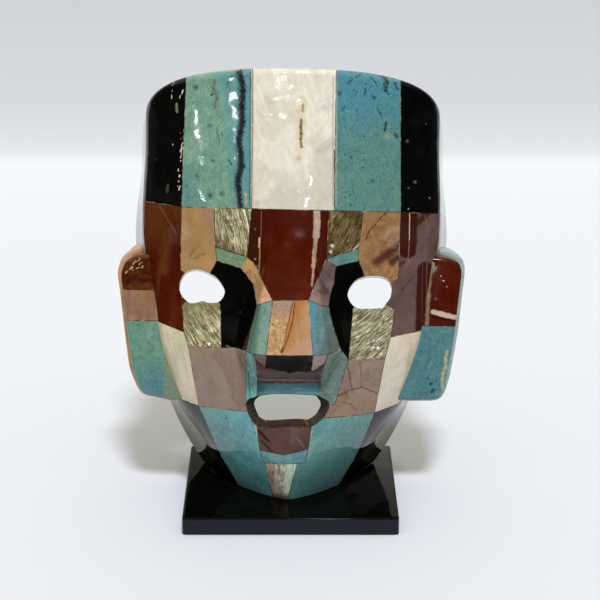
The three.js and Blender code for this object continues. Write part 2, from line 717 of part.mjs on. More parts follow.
// Moves every edge of an outline inwards by a distance
function inset(corners, distance) {
  const n = corners.length;
  const area = THREE.ShapeUtils.area(corners.map(([x, z]) => new THREE.Vector2(x, z)));
  const inward = Math.sign(area) * distance;
  const edges = corners.map(([x, z], i) => {
    const [nextX, nextZ] = corners[(i + 1) % n];
    const along = new THREE.Vector2(nextX - x, nextZ - z).normalize();
    const start = new THREE.Vector2(x - along.y * inward, z + along.x * inward);
    return { start, along };
  });
  return edges.map((edge, i) => {
    const before = edges[(i + n - 1) % n];
    const turn = before.along.cross(edge.along);
    if (Math.abs(turn) < STRAIGHT_ON) {
      return edge.start.toArray();
    }
    const gap = edge.start.clone().sub(before.start);
    const t = gap.cross(edge.along) / turn;
    return before.start.clone().addScaledVector(before.along, t).toArray();
  });
}

const mask = new THREE.Group();
mask.rotation.set(-LEAN_BACK, ROLL, 0);
mask.position.set(SEAT_X, SEAT_Y, PLINTH_THICK + JOINT);
mask.updateMatrix();

// The lower rim is ground flat, level with the glue line on the plinth
function belowSeat() {
  const box = new THREE.BoxGeometry(CUTTER_SIZE, CUTTER_SIZE, CUTTER_SIZE);
  box.translate(0, 0, PLINTH_THICK + JOINT - CUTTER_SIZE / 2);
  box.applyMatrix4(mask.matrix.clone().invert());
  return solidOf(box);
}

function behindRim() {
  const box = new THREE.BoxGeometry(CUTTER_SIZE, CUTTER_SIZE, CUTTER_SIZE);
  box.translate(0, CUTTER_SIZE / 2, 0);
  return solidOf(box);
}

function hollowHead() {
  const block = blockUnder(headGrid(faceColumns, FACE_ROWS, CROWN_SHARES), roundedFace);
  const head = envelope(0, faceDepth).intersect(block).subtract(behindRim());
  const innerColumns = (z, half) => INNER_COLUMNS.map((share) => share * half);
  const innerBlock = blockUnder(headGrid(innerColumns, INNER_ROWS, INNER_CROWN_SHARES), innerFace);
  const hollow = envelope(-SIDE_WALL, innerFace).intersect(innerBlock);
  return head
    .subtract(hollow)
    .subtract(eyeHole(EYE_LEFT))
    .subtract(eyeHole(EYE_RIGHT))
    .subtract(drilled(MOUTH, MOUTH_DEPTH, MOUTH_DROP))
    .subtract(belowSeat());
}

function meshOf(name, kind, solid) {
  const data = solid.getMesh();
  const geometry = new THREE.BufferGeometry();
  const positions = new Float32Array(data.vertProperties);
  geometry.setAttribute("position", new THREE.BufferAttribute(positions, 3));
  geometry.setIndex(new THREE.BufferAttribute(new Uint32Array(data.triVerts), 1));
  geometry.computeVertexNormals();
  const { color, roughness } = STONES[kind];
  const material = new THREE.MeshStandardMaterial({ color, roughness, metalness: 0 });
  const mesh = new THREE.Mesh(geometry, material);
  mesh.name = name;
  return mesh;
}

// Saws stones out of the hollow head along their seams
function addStones(head, stones, fromDepth, toDepth) {
  for (const [name, kind, corners] of stones) {
    const outlineOfStone = corners.split(" ").map((corner) => SEAM[corner]);
    const saw = solidOf(prism(inset(outlineOfStone, JOINT / 2), fromDepth, toDepth));
    mask.add(meshOf(name, kind, head.intersect(saw)));
  }
}

function addEar(ear) {
  const half = JOINT / 2;
  const beside = envelope(JOINT, faceDepth);
  const front = solidOf(prism(ear.outline, EAR_BETWEEN + half, EAR_FRONT)).subtract(beside);
  const bounds = [...ear.seams, EAR_TOP];
  ear.stones.forEach(([name, kind], i) => {
    const low = i === 0 ? 0 : bounds[i - 1] + half;
    const high = bounds[i] - half;
    const band = [[-BEYOND_SIDES, low], [BEYOND_SIDES, low], [BEYOND_SIDES, high], [-BEYOND_SIDES, high]];
    mask.add(meshOf(name, kind, front.intersect(solidOf(prism(band, 0, BEFORE_FACE)))));
  });
  const bigger = inset(ear.outline, -EAR_REAR_PROUD);
  const rear = solidOf(prism(bigger, EAR_BACK, EAR_BETWEEN - half)).subtract(beside);
  mask.add(meshOf(ear.rear[0], ear.rear[1], rear));
}

// A square slab with a small flat along each edge
function plinthMesh() {
  const ring = (z, inwards) => {
    const h = PLINTH_SIDE / 2 - inwards;
    const c = h - PLINTH_CORNER;
    const corners = [[-c, -h], [c, -h], [h, -c], [h, c], [c, h], [-c, h], [-h, c], [-h, -c]];
    return corners.map(([x, y]) => [x, y, z]);
  };
  const rings = [
    ring(0, PLINTH_FOOT_EDGE),
    ring(PLINTH_FOOT_EDGE, 0),
    ring(PLINTH_THICK - PLINTH_TOP_EDGE, 0),
    ring(PLINTH_THICK, PLINTH_TOP_EDGE),
  ];
  const n = rings[0].length;
  const triangles = [];
  for (let r = 0; r < rings.length - 1; r += 1) {
    for (let i = 0; i < n; i += 1) {
      const j = (i + 1) % n;
      triangles.push([r * n + i, r * n + j, (r + 1) * n + j]);
      triangles.push([r * n + i, (r + 1) * n + j, (r + 1) * n + i]);
    }
  }
  const top = (rings.length - 1) * n;
  for (let i = 1; i < n - 1; i += 1) {
    triangles.push([0, i + 1, i]);
    triangles.push([top, top + i, top + i + 1]);
  }
  return meshOf("plinth", "black", solidFrom(rings.flat(), triangles));
}

const head = hollowHead();
addStones(head, FRONT_STONES, REAR_COURSE + JOINT / 2, BEFORE_FACE);
addStones(head, LOW_STONES, -BEHIND_RIM, BEFORE_FACE);
addStones(head, REAR_STONES, -BEHIND_RIM, REAR_COURSE - JOINT / 2);
addEar({
  outline: EAR_OUTLINE_LEFT,
  seams: [EAR_SEAM_LOW_LEFT, EAR_SEAM_HIGH_LEFT],
  stones: [["ear_teal_left", "teal"], ["ear_tan_left", "tan"], ["ear_red_left", "red"]],
  rear: ["ear_rear_left", "salmon"],
});
addEar({
  outline: EAR_OUTLINE_RIGHT,
  seams: [EAR_SEAM_RIGHT],
  stones: [["ear_teal_right", "blueTeal"], ["ear_red_right", "red"]],
  rear: ["ear_rear_right", "teal"],
});

const whole = new THREE.Group();
whole.add(plinthMesh());
whole.add(mask);

export default whole;
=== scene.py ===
# %% [markdown]
# # A stone-mosaic mask on its plinth
# The real object is a hollow mask built of slabs of different stones, glued edge to edge, ground to a
# face, polished and lacquered, standing on a square slab of black stone. We model it the way it is made:
# each stone is sawn out of a thin blank along its seams, bent onto the carved surface, and given its own
# thickness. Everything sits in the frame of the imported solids, in metres, with the origin under the
# plinth's middle.

# %% Load the frame
import math

import bmesh
import bpy
import numpy as np
from mathutils import Matrix, Vector


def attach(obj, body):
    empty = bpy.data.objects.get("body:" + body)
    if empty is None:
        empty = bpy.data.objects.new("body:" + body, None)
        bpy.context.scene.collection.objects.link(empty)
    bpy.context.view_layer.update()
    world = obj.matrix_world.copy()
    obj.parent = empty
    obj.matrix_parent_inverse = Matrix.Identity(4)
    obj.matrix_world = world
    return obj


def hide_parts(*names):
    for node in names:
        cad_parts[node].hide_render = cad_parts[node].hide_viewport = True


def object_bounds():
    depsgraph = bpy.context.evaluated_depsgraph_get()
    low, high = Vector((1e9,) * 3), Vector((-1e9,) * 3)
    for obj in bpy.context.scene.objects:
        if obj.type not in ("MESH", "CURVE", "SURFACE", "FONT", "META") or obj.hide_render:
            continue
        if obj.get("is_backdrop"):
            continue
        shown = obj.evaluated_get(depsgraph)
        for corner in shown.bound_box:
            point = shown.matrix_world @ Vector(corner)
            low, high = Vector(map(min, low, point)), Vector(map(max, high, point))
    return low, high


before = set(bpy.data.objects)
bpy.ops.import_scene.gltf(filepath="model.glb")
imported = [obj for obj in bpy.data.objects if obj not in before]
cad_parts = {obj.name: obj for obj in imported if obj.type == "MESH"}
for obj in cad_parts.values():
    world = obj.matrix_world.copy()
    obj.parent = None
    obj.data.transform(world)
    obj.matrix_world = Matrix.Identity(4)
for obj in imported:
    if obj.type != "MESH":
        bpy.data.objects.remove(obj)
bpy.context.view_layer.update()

# %% [markdown]
# ## The camera
# A long lens looks down a little at the mask from straight ahead. The lens and the height follow from the
# plinth, which is square: its front and rear edges have the lengths in the picture that only one camera
# gives. A small sideways shift puts the mask a little left of the middle without turning the camera.

# %% Camera
LENS = 135.66
SENSOR = 36  # millimetres
LOOK_DOWN = math.radians(15.84)
CAMERA_PLACE = (0, -0.9711, 0.369)
CAMERA_SHIFT = 0.0157

lens = bpy.data.cameras.new("camera")
lens.sensor_width = SENSOR
lens.lens = LENS
lens.shift_x = CAMERA_SHIFT
camera = bpy.data.objects.new("camera", lens)
camera.location = CAMERA_PLACE
camera.rotation_euler = (math.pi / 2 - LOOK_DOWN, 0, 0)
bpy.context.collection.objects.link(camera)
bpy.context.scene.camera = camera
bpy.context.scene.view_settings.view_transform = "Standard"
print("camera:", LENS, "mm lens")

# %% [markdown]
# ## Small helpers for materials
# Node trees get long when every node is wired by hand, so a few helpers keep them short. The first adds a
# node and fills its sockets, and the others build on it: sums, colours, ramps and groups.

# %% Node helpers
def put(tree, kind, inputs=None, **settings):
    """Adds a node; an input is a value or another node's output."""
    node = tree.nodes.new(kind)
    for key, value in settings.items():
        setattr(node, key, value)
    for key, value in (inputs or {}).items():
        socket = node.inputs[key]
        if isinstance(value, bpy.types.NodeSocket):
            tree.links.new(value, socket)
        else:
            socket.default_value = value
    return node


def maths(tree, operation, *values, clamp=False):
    node = put(tree, "ShaderNodeMath", dict(enumerate(values)), operation=operation, use_clamp=clamp)
    return node.outputs[0]


def vectors(tree, operation, *values):
    node = put(tree, "ShaderNodeVectorMath", dict(enumerate(values)), operation=operation)
    return node.outputs["Value" if operation in ("LENGTH", "DOT_PRODUCT", "DISTANCE") else "Vector"]


print("helpers: put, maths, vectors")

# %% Colour helpers
def paint(red, green, blue):
    """An everyday colour of 0 to 255, made linear by the curve that screens use."""

    def linear(value):
        share = value / 255
        return share / 12.92 if share <= 0.04045 else ((share + 0.055) / 1.055) ** 2.4

    return (linear(red), linear(green), linear(blue), 1)


def mixed(tree, mask, below, above):
    """The colour above where the mask is 1, the colour below where it is 0."""
    node = put(tree, "ShaderNodeMix", {0: mask, 6: below, 7: above}, data_type="RGBA")
    return node.outputs[2]


def ramp(tree, value, *stops):
    """A colour ramp through (place, colour) stops."""
    node = put(tree, "ShaderNodeValToRGB", {"Fac": value})
    steps = node.color_ramp.elements
    while len(steps) < len(stops):
        steps.new(0.5)
    for step, (place, colour) in zip(steps, stops):
        step.position = place
        step.color = colour
    return node.outputs["Color"]


print("helpers: paint, mixed, ramp")

# %% Group helpers
def new_group(name, result, **inputs):
    """An empty group that takes a Vector and named inputs (None for a vector), and gives one number back."""
    group = bpy.data.node_groups.new(name, "ShaderNodeTree")
    for label, default in {"Vector": None, **inputs}.items():
        kind = "NodeSocketVector" if default is None else "NodeSocketFloat"
        socket = group.interface.new_socket(label, in_out="INPUT", socket_type=kind)
        if default is not None:
            socket.default_value = default
    group.interface.new_socket(result, in_out="OUTPUT", socket_type="NodeSocketFloat")
    given = put(group, "NodeGroupInput").outputs
    return group, given, put(group, "NodeGroupOutput").inputs[result]


def use(tree, group, **inputs):
    """Places a group in a material."""
    return put(tree, "ShaderNodeGroup", inputs, node_tree=group).outputs[0]


print("helpers: new_group, use")

# %% [markdown]
# ## The floor
# The mask stands on a plain pale floor that runs far back. One large sheet is enough: it is white near
# the mask and turns to light grey far behind it. Black stones look black because they mirror something
# dark. So mirrored rays, and no others, find the sheet dark beyond a short reach to the sides and to the
# front.

# %% Floor
FLOOR_HALF = 6.0

floor_mesh = bpy.data.meshes.new("floor")
blank = bmesh.new()
bmesh.ops.create_grid(blank, x_segments=1, y_segments=1, size=FLOOR_HALF)
blank.to_mesh(floor_mesh)
blank.free()
floor = bpy.data.objects.new("floor", floor_mesh)
bpy.context.collection.objects.link(floor)
floor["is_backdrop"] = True
print("floor:", 2 * FLOOR_HALF, "m across")

# %% Floor's white
FLOOR_TONES = (
    (-0.11, (215, 216, 220)),
    (0.20, (218, 219, 223)),
    (0.45, (219, 220, 224)),
    (0.68, (223, 224, 227)),
    (0.705, (225, 226, 229)),
    (0.759, (208, 209, 212)),
    (0.83, (201, 203, 206)),
    (0.97, (194, 195, 199)),
    (1.54, (187, 188, 191)),
)
FLOOR_ROUGH = 0.75
DARK_TINT = (30, 30, 32)
SIDE_REACH = 0.32
FRONT_REACH = 0.12
BEHIND = 0.9  # behind this many times the distance to the side, the floor is bright however far it is

floor_white = bpy.data.materials.new("floor_white")
floor_white.use_nodes = True
tree = floor_white.node_tree
shader = tree.nodes["Principled BSDF"]
where = put(tree, "ShaderNodeSeparateXYZ", {0: put(tree, "ShaderNodeTexCoord").outputs["Object"]}).outputs
away = where["Y"]
nearest, farthest = FLOOR_TONES[0][0], FLOOR_TONES[-1][0]
reach = {"Value": away, "From Min": nearest, "From Max": farthest}
share = put(tree, "ShaderNodeMapRange", reach).outputs[0]
stops = [((place - nearest) / (farthest - nearest), paint(*tint)) for place, tint in FLOOR_TONES]
tone = ramp(tree, share, *stops)
side = maths(tree, "ABSOLUTE", where["X"])
aside = maths(tree, "GREATER_THAN", side, SIDE_REACH)
ahead = maths(tree, "LESS_THAN", away, -FRONT_REACH)
before = maths(tree, "LESS_THAN", away, maths(tree, "MULTIPLY", side, BEHIND))
beyond = maths(tree, "MULTIPLY", maths(tree, "MAXIMUM", aside, ahead), before)
mirrored = put(tree, "ShaderNodeLightPath").outputs["Is Glossy Ray"]
tone = mixed(tree, maths(tree, "MULTIPLY", beyond, mirrored), tone, paint(*DARK_TINT))
tree.links.new(tone, shader.inputs["Base Color"])
shader.inputs["Roughness"].default_value = FLOOR_ROUGH
floor_mesh.materials.append(floor_white)
print("floor tones:", len(FLOOR_TONES))

# %% [markdown]
# ## The light
# The main light comes from high behind the camera, so the shadows fall straight back, and a pale ceiling
# fills in the rest. Polished stone shows its surroundings, so they matter as much as the light itself.
# The studio is dark at the height of the camera, which makes the black stones look deep, and a few small
# low lamps draw the broken white glints on the forehead.

# %% Lamps
MASK_MIDDLE = Vector((0, 0, 0.1))


def towards(azimuth, elevation):
    """A direction from the mask; azimuth 0 is straight ahead of it, and left is negative."""
    turned, up = math.radians(azimuth), math.radians(elevation)
    return Vector((math.sin(turned) * math.cos(up), -math.cos(turned) * math.cos(up), math.sin(up)))


def lamp_at(name, kind, azimuth, elevation, distance, power, tint=(1, 1, 1)):
    light = bpy.data.lights.new(name, kind)
    light.energy = power
    light.color = tint
    lamp = bpy.data.objects.new(name, light)
    way = towards(azimuth, elevation)
    lamp.location = MASK_MIDDLE + way * distance
    lamp.rotation_euler = (-way).to_track_quat("-Z", "Y").to_euler()
    bpy.context.collection.objects.link(lamp)
    return light


KEY = {"azimuth": 7, "elevation": 56, "distance": 2.0, "power": 2.3, "tint": (0.95, 1, 1.14)}
KEY_ANGLE = 9  # degrees across, which is how soft its shadows are
GLINTS = (  # azimuth, elevation, width, height
    (6.5, 6, 0.045, 0.07),
    (-4, 19.2, 0.2, 0.004),
    (-35.5, 15.2, 0.09, 0.014),
    (-35, 12.2, 0.06, 0.006),
    (-60, 8.6, 0.045, 0.016),
    (-58, 6.8, 0.03, 0.006),
    (-55, 2, 0.08, 0.005),
)
GLINT_POWER = 200  # watts for each square metre
GLINT_DISTANCE = 1.4

lamp_at("key", "SUN", **KEY).angle = math.radians(KEY_ANGLE)
for number, (azimuth, elevation, wide, tall) in enumerate(GLINTS):
    power = GLINT_POWER * wide * tall
    glint = lamp_at("glint_" + str(number), "AREA", azimuth, elevation, GLINT_DISTANCE, power)
    glint.shape = "RECTANGLE"
    glint.size, glint.size_y = wide, tall

print("lamps: a soft key and", len(GLINTS), "small ones")

# %% [markdown]
# ## The studio round it
# The world is the studio: dark at the level of the camera, brighter towards the ceiling and towards the
# wall behind the mask. The direction of a ray says where it ends, so two soft steps over its height and
# its depth are enough. The camera sees the pale wall on every side, so a view from behind has the same
# pale surroundings.

# %% Studio
CEILING, WALL, DARK = 0.92, 0.6, 0.03  # strengths
CEILING_FROM, CEILING_TO = 0.35, 0.75  # how far up a ray points where the ceiling begins and is whole
WALL_FROM, WALL_TO = 0.6, 0.92  # the same for the wall behind
WARM = (1, 0.98, 0.86, 1)


def soft_rise(tree, value, start, end, low, high):
    inputs = {"Value": value, "From Min": start, "From Max": end, "To Min": low, "To Max": high}
    return put(tree, "ShaderNodeMapRange", inputs, interpolation_type="SMOOTHSTEP").outputs[0]


studio = bpy.data.worlds.new("studio")
studio.use_nodes = True
tree = studio.node_tree
ray = put(tree, "ShaderNodeTexCoord").outputs["Generated"]
direction = put(tree, "ShaderNodeSeparateXYZ", {0: ray}).outputs
ceiling = soft_rise(tree, direction["Z"], CEILING_FROM, CEILING_TO, DARK, CEILING)
wall = soft_rise(tree, direction["Y"], WALL_FROM, WALL_TO, 0, WALL)
seen = maths(tree, "MULTIPLY", put(tree, "ShaderNodeLightPath").outputs["Is Camera Ray"], WALL)
background = tree.nodes["Background"]
background.inputs["Color"].default_value = WARM
strength = maths(tree, "MAXIMUM", maths(tree, "ADD", ceiling, wall), seen)
tree.links.new(strength, background.inputs["Strength"])
bpy.context.scene.world = studio
print("studio: ceiling", CEILING, "and wall", WALL)

# %% [markdown]
# ## The mask's own frame
# The mask leans back by 8 degrees and rolls a little, so its shape is easier to describe in a frame of
# its own: millimetres across, depth forward of the flat rear rim, and height up the face. One matrix
# brings that frame into the world. Materials use the same frame, through a Mapping node, so a fleck can
# be put at a height.

# %% Mask frame
MM = 0.001
LEAN_BACK = math.radians(8)
ROLL = math.radians(0.8)
SEAT = Vector((-1.2, 24, 8.3)) * MM
LEVEL = 8.3 * MM  # the mask stands on this height, on top of the plinth and its glue

turn = Matrix.Rotation(-LEAN_BACK, 4, "X") @ Matrix.Rotation(ROLL, 4, "Y")
MASK_TO_WORLD = Matrix.Translation(SEAT) @ turn @ Matrix.Scale(MM, 4)


def mask_place(tree, shift=(0, 0, 0)):
    """The shaded point in the mask's own millimetres, moved by a shift so that patterns differ."""
    spot = put(tree, "ShaderNodeTexCoord").outputs["Object"]
    inputs = {0: spot, 1: SEAT, 2: turn.to_euler("XYZ"), 3: (MM, MM, MM)}
    place = put(tree, "ShaderNodeMapping", inputs, vector_type="TEXTURE").outputs[0]
    return place if shift == (0, 0, 0) else vectors(tree, "ADD", place, shift)


print("mask frame: leans", round(math.degrees(LEAN_BACK), 1), "degrees")

# %% [markdown]
# ## The carved surface
# The face is one smooth height field over the mosaic: a bowed sheet with hollows for the eyes, low
# swellings at the cheekbones and the chin, and a flat-fronted wedge of a nose. We write it as plain
# functions of the place on the face, so that every stone can be bent onto exactly the same surface and
# the seams meet without a step.

# %% Surface functions
SECTIONS = {
    "z": (-12, -4, 8, 20, 34, 50, 70, 105, 125, 150, 186),
    "half_front": (20, 26, 33.5, 42.5, 51.5, 57, 62, 66, 66, 65, 65),
    "front": (46, 50.5, 55.5, 57.5, 57.5, 57.5, 58, 59.5, 60, 59.5, 56.5),
    "corner": (25, 27, 26, 25, 26, 28, 30, 31, 32, 32, 32),
    "bow": (1.5, 1.5, 1.8, 2, 2.2, 2.2, 2.2, 2.2, 2.2, 2.2, 2.2),
    "half_rear": (31, 36.8, 45, 51.5, 57.5, 63.5, 68.5, 71.5, 70.8, 68.7, 68.7),
}
FINE_HEIGHTS = np.arange(-12, 186.01, 0.5)


def smooth_column(values):
    """One column of the sections, on fine heights, with the slope carried through each section."""
    z = np.array(SECTIONS["z"], float)
    v = np.array(values, float)
    low = np.r_[0, np.arange(len(z) - 1)]
    high = np.r_[np.arange(1, len(z)), len(z) - 1]
    slope = (v[high] - v[low]) / (z[high] - z[low])
    i = np.clip(np.searchsorted(z, FINE_HEIGHTS) - 1, 0, len(z) - 2)
    step = z[i + 1] - z[i]
    t = (FINE_HEIGHTS - z[i]) / step
    rise = 3 * t**2 - 2 * t**3
    leave = (t**3 - 2 * t**2 + t) * slope[i] * step
    arrive = (t**3 - t**2) * slope[i + 1] * step
    return (1 - rise) * v[i] + rise * v[i + 1] + leave + arrive


COLUMNS = {key: smooth_column(values) for key, values in SECTIONS.items() if key != "z"}


def section(z, key):
    return np.interp(z, FINE_HEIGHTS, COLUMNS[key])


def ease(a, b, x):
    t = np.clip((x - a) / (b - a), 0, 1)
    return t * t * (3 - 2 * t)


def hump(middle, reach, x):
    t = np.minimum(np.abs(x - middle) / reach, 1)
    return (1 - t * t) ** 2


def sheet(x, z):
    front = section(z, "front")
    fall = front - section(z, "corner")
    return front - fall * (np.abs(x) / section(z, "half_front")) ** section(z, "bow")


print("surface: bowed sheet from", round(float(FINE_HEIGHTS[0])), "to", round(float(FINE_HEIGHTS[-1])), "mm")

# %% Hollows and swellings
SOCKET = {  # where the eyes' hollows begin, and where they have their full depth
    "deep": 4.5,
    "top": (126, 100),
    "bottom": (56, 80),
    "inner": (6, 20),
    "outer": (66, 50),
    "bridge_share": 0.25,  # of the depth, left on the middle line
    "share_behind": 0.8,  # of the depth, repeated on the inner face
}
BESIDE_NOSE = {"height": 1.5, "x": 22, "reach_x": 14, "z": 84, "reach_z": 22}
CHEEKBONE = {"height": 1.8, "x": 36, "reach_x": 20, "z": 60, "reach_z": 20}
CHIN = {"height": 1.5, "x": 0, "reach_x": 22, "z": 14, "reach_z": 16}
UPPER_LIP = {"deep": 1.6, "side": (15, 12), "bottom": (40, 44), "top": (66, 60)}


def mound(form, across, z):
    across_share = hump(form["x"], form["reach_x"], across)
    return form["height"] * across_share * hump(form["z"], form["reach_z"], z)


def sockets(x, z):
    across = np.abs(x)
    height = ease(*SOCKET["top"], z) * ease(*SOCKET["bottom"], z)
    width = ease(*SOCKET["inner"], across) * ease(*SOCKET["outer"], across)
    share = SOCKET["bridge_share"] + (1 - SOCKET["bridge_share"]) * width
    return SOCKET["deep"] * height * share + mound(BESIDE_NOSE, across, z)


def swellings(x, z):
    across = np.abs(x)
    lip_sides = UPPER_LIP["deep"] * ease(*UPPER_LIP["side"], across)
    lip_hollow = lip_sides * ease(*UPPER_LIP["bottom"], z) * ease(*UPPER_LIP["top"], z)
    return mound(CHEEKBONE, across, z) - lip_hollow + mound(CHIN, across, z)


print("hollows:", SOCKET["deep"], "mm deep at the eyes")

# %% Nose
NOSE_ROOT, NOSE_TIP = 118, 62
NOSE_HEIGHTS = (52, 62, 85.5, 97, 118)
NOSE_HALVES = (16, 17.5, 13, 11, 8.5)
RIDGE_LOW, RIDGE_RISE, RIDGE_BEND = 58.5, 14, 1.25  # depth at the root, and how it grows to the tip
UNDER_SLOPE, ABOVE_SLOPE, FLANK_SLOPE = 1.25, 0.3, 2.6
RIDGE_ROUND = 1.2
NOSE_BLEND = 1.8
NOSE_EDGE = 0.7  # the edges beside the ridge are rounded over this width


def nose(x, z):
    half = np.interp(z, NOSE_HEIGHTS, NOSE_HALVES)
    across = np.abs(x)
    rise = np.clip((NOSE_ROOT - z) / (NOSE_ROOT - NOSE_TIP), 0, 1)
    ridge = RIDGE_LOW + RIDGE_RISE * rise**RIDGE_BEND
    under = np.maximum(NOSE_TIP - z, 0) * UNDER_SLOPE
    above = np.maximum(z - NOSE_ROOT, 0) * ABOVE_SLOPE
    rounding = RIDGE_ROUND * np.minimum(across / half, 1) ** 2
    past = across - half
    t = np.clip(0.5 + 0.5 * past / NOSE_EDGE, 0, 1)
    flank = past * t + NOSE_EDGE * t * (1 - t)
    return ridge - under - above - rounding - flank * FLANK_SLOPE


def bare_face(x, z):
    return sheet(x, z) - sockets(x, z) + swellings(x, z)


def face_depth(x, z):
    face = bare_face(x, z)
    t = np.clip(0.5 + 0.5 * (nose(x, z) - face) / NOSE_BLEND, 0, 1)
    return face * (1 - t) + nose(x, z) * t + NOSE_BLEND * t * (1 - t)


FACE_WALL = 9


def inner_depth(x, z):
    return sheet(x, z) - SOCKET["share_behind"] * sockets(x, z) - FACE_WALL


BESIDE_RIDGE = 6  # the foot is searched from here outwards
FOOT_SEARCH = np.linspace(0, 32, 321)


def nose_foot(z):
    """How far from the middle the nose's flank meets the face, at each height."""
    across = FOOT_SEARCH
    x, height = np.meshgrid(across, z)
    buried = (nose(x, height) < bare_face(x, height)) & (x > BESIDE_RIDGE)
    return across[buried.argmax(1)]


print("nose tip stands", round(float(face_depth(0, NOSE_TIP)), 1), "mm before the rear rim")

# %% [markdown]
# ## The outline of the head
# Seen from the front the head ends in one closed line, higher over the forehead than at the rear rim. The
# side walls run straight from each point of that front line to its partner on the rear rim. We keep both
# lines as many short steps, with the same number of points, so that a share of the way back is a plain
# blend.

# %% Outline
FRONT_CROWN = {"spring": 163, "rise": 22.5, "half": 65, "square": 2.5}
REAR_CROWN = {"spring": 148, "rise": 20, "half": 68.7, "square": 4}
STRAIGHT_TO = 100  # above this height the sides follow the crown
SIDE_STEPS = np.r_[np.arange(-30, 145, 3), 145]  # heights up the sides
CROWN_STEPS = 64


def outline(crown, key):
    stretch = (crown["spring"] - STRAIGHT_TO) / (FRONT_CROWN["spring"] - STRAIGHT_TO)
    z = np.minimum(SIDE_STEPS, STRAIGHT_TO) + np.maximum(SIDE_STEPS - STRAIGHT_TO, 0) * stretch
    right = np.stack([section(SIDE_STEPS, key), z], 1)
    left = right * (-1, 1)
    angle = np.linspace(0, math.pi, CROWN_STEPS + 1)
    power = 2 / crown["square"]
    across = -np.sign(np.cos(angle)) * np.abs(np.cos(angle)) ** power * crown["half"]
    up = crown["spring"] + np.abs(np.sin(angle)) ** power * crown["rise"]
    return np.concatenate([left, np.stack([across, up], 1), right[::-1]])


FRONT_LINE = outline(FRONT_CROWN, "half_front")
REAR_LINE = outline(REAR_CROWN, "half_rear")
LINE_DEPTH = face_depth(FRONT_LINE[:, 0], FRONT_LINE[:, 1])
BACKWARD = (REAR_LINE - FRONT_LINE) / LINE_DEPTH[:, None]  # how far the wall moves for each millimetre back

steps = np.gradient(FRONT_LINE, axis=0)
steps /= np.linalg.norm(steps, axis=1)[:, None]
INWARD = np.stack([steps[:, 1], -steps[:, 0]], 1)

print("outline:", len(FRONT_LINE), "points, crown at", FRONT_LINE[:, 1].max().round(1), "mm")

# %% Rounded edge
CROWN_ROUND, SIDE_ROUND = 3.5, 6  # rounding along the top, and down the sides
ROUND_CHANGE = 4  # how late the crown's rounding grows to that of the sides


def edge_radius(x):
    sideways = np.minimum(np.abs(x) / FRONT_CROWN["half"], 1) ** ROUND_CHANGE
    return CROWN_ROUND + (SIDE_ROUND - CROWN_ROUND) * sideways


def line_offset(distance):
    """The front line moved inwards by a distance, or outwards if it is negative."""
    return FRONT_LINE + INWARD * np.reshape(distance, (-1, 1))


QUARTER = math.pi / 2 - 1  # how much longer a quarter round is than its radius
BLANK_LINE = line_offset(-QUARTER * edge_radius(FRONT_LINE[:, 0]))

print("blank's line reaches", BLANK_LINE[:, 1].max().round(1), "mm up")

# %% Places on the outline
AT_ONCE = 2000  # points, to spare memory
TINY = 1e-9  # keeps a division from failing


def nearest_on_line(points):
    """For each point: the line's nearest step, the share along it, and how far inside the point is."""
    start = FRONT_LINE[:-1]
    along = FRONT_LINE[1:] - start
    length2 = np.maximum((along**2).sum(1), TINY)
    out = np.zeros((len(points), 3))
    for i in range(0, len(points), AT_ONCE):
        p = points[i : i + AT_ONCE, None, :]
        share = np.clip(((p - start) * along).sum(2) / length2, 0, 1)
        gap = p - start - share[..., None] * along
        distance = np.sqrt((gap**2).sum(2))
        best = distance.argmin(1)
        rows = np.arange(len(best))
        foot_gap = gap[rows, best]
        side = np.sign((foot_gap * INWARD[best]).sum(1))
        out[i : i + AT_ONCE] = np.stack([best, share[rows, best], side * distance[rows, best]], 1)
    return out


def at_step(values, step, share):
    """Reads a table that has one row for each point of the line, between two of its points."""
    i = step.astype(int)
    return values[i] * (1 - share[:, None]) + values[i + 1] * share[:, None]


middle = nearest_on_line(np.array([[0.0, 90.0]]))[0, 2]
print("the middle of the face lies", middle.round(1), "mm inside the line")

# %% [markdown]
# ## The openings
# The eyes are drilled a little downwards and the mouth nearly level, right through to the hollow. The
# eyes' edges are given as they lie on the surface, seen straight from the front. The mouth's outline is
# given at one depth. Where the face stands further forward than that, the mouth's edge sits a little
# higher. A few rounds of putting each edge point on the surface and moving it up by the drop settle that.

# %% Openings
EYE_DROP = math.tan(math.radians(14))  # the drilling's fall, for each mm of depth
MOUTH_DROP = math.tan(math.radians(7))
MOUTH_DEPTH = 56  # at this depth the mouth has the outline that is given below
OPENINGS = {"eye_left": EYE_DROP, "eye_right": EYE_DROP, "mouth": MOUTH_DROP}
EYE_EDGES = {
    "eye_left": (
        (-49.6, 86.5), (-49.3, 89), (-48.3, 91.4), (-46.6, 93.6), (-44.1, 94.9), (-41.5, 95.2),
        (-38.9, 94.9), (-36.2, 93.9), (-33.6, 92.8), (-31.9, 91.2), (-30.3, 89.1), (-29.2, 87),
        (-29, 85.6), (-29.7, 83.5), (-30.8, 81.9), (-32.2, 81), (-34.3, 80.6), (-36.5, 80.6), (-37.8, 81),
        (-39, 81.2), (-39.9, 80.8), (-41, 80.3), (-43.1, 79.7), (-45, 79.7), (-46.4, 80.6), (-47.7, 81.8),
        (-48.9, 83.4), (-49.5, 85),
    ),
    "eye_right": (
        (25.1, 85.2), (25.5, 87.3), (26.5, 89.3), (28.1, 91.4), (30.1, 92.8), (32.7, 93.5), (35.6, 93.7),
        (38.6, 93.5), (41.3, 92.9), (43.4, 91.5), (44.6, 89.7), (45, 87.8), (44.9, 85.6), (44.5, 83.7),
        (43.6, 82.1), (42.5, 81), (41.7, 79.7), (40.8, 78.9), (39, 78.8), (35.9, 79), (33, 79),
        (30.4, 79.1), (28.3, 80), (26.8, 81.5), (25.8, 83.2),
    ),
}  # fmt: skip
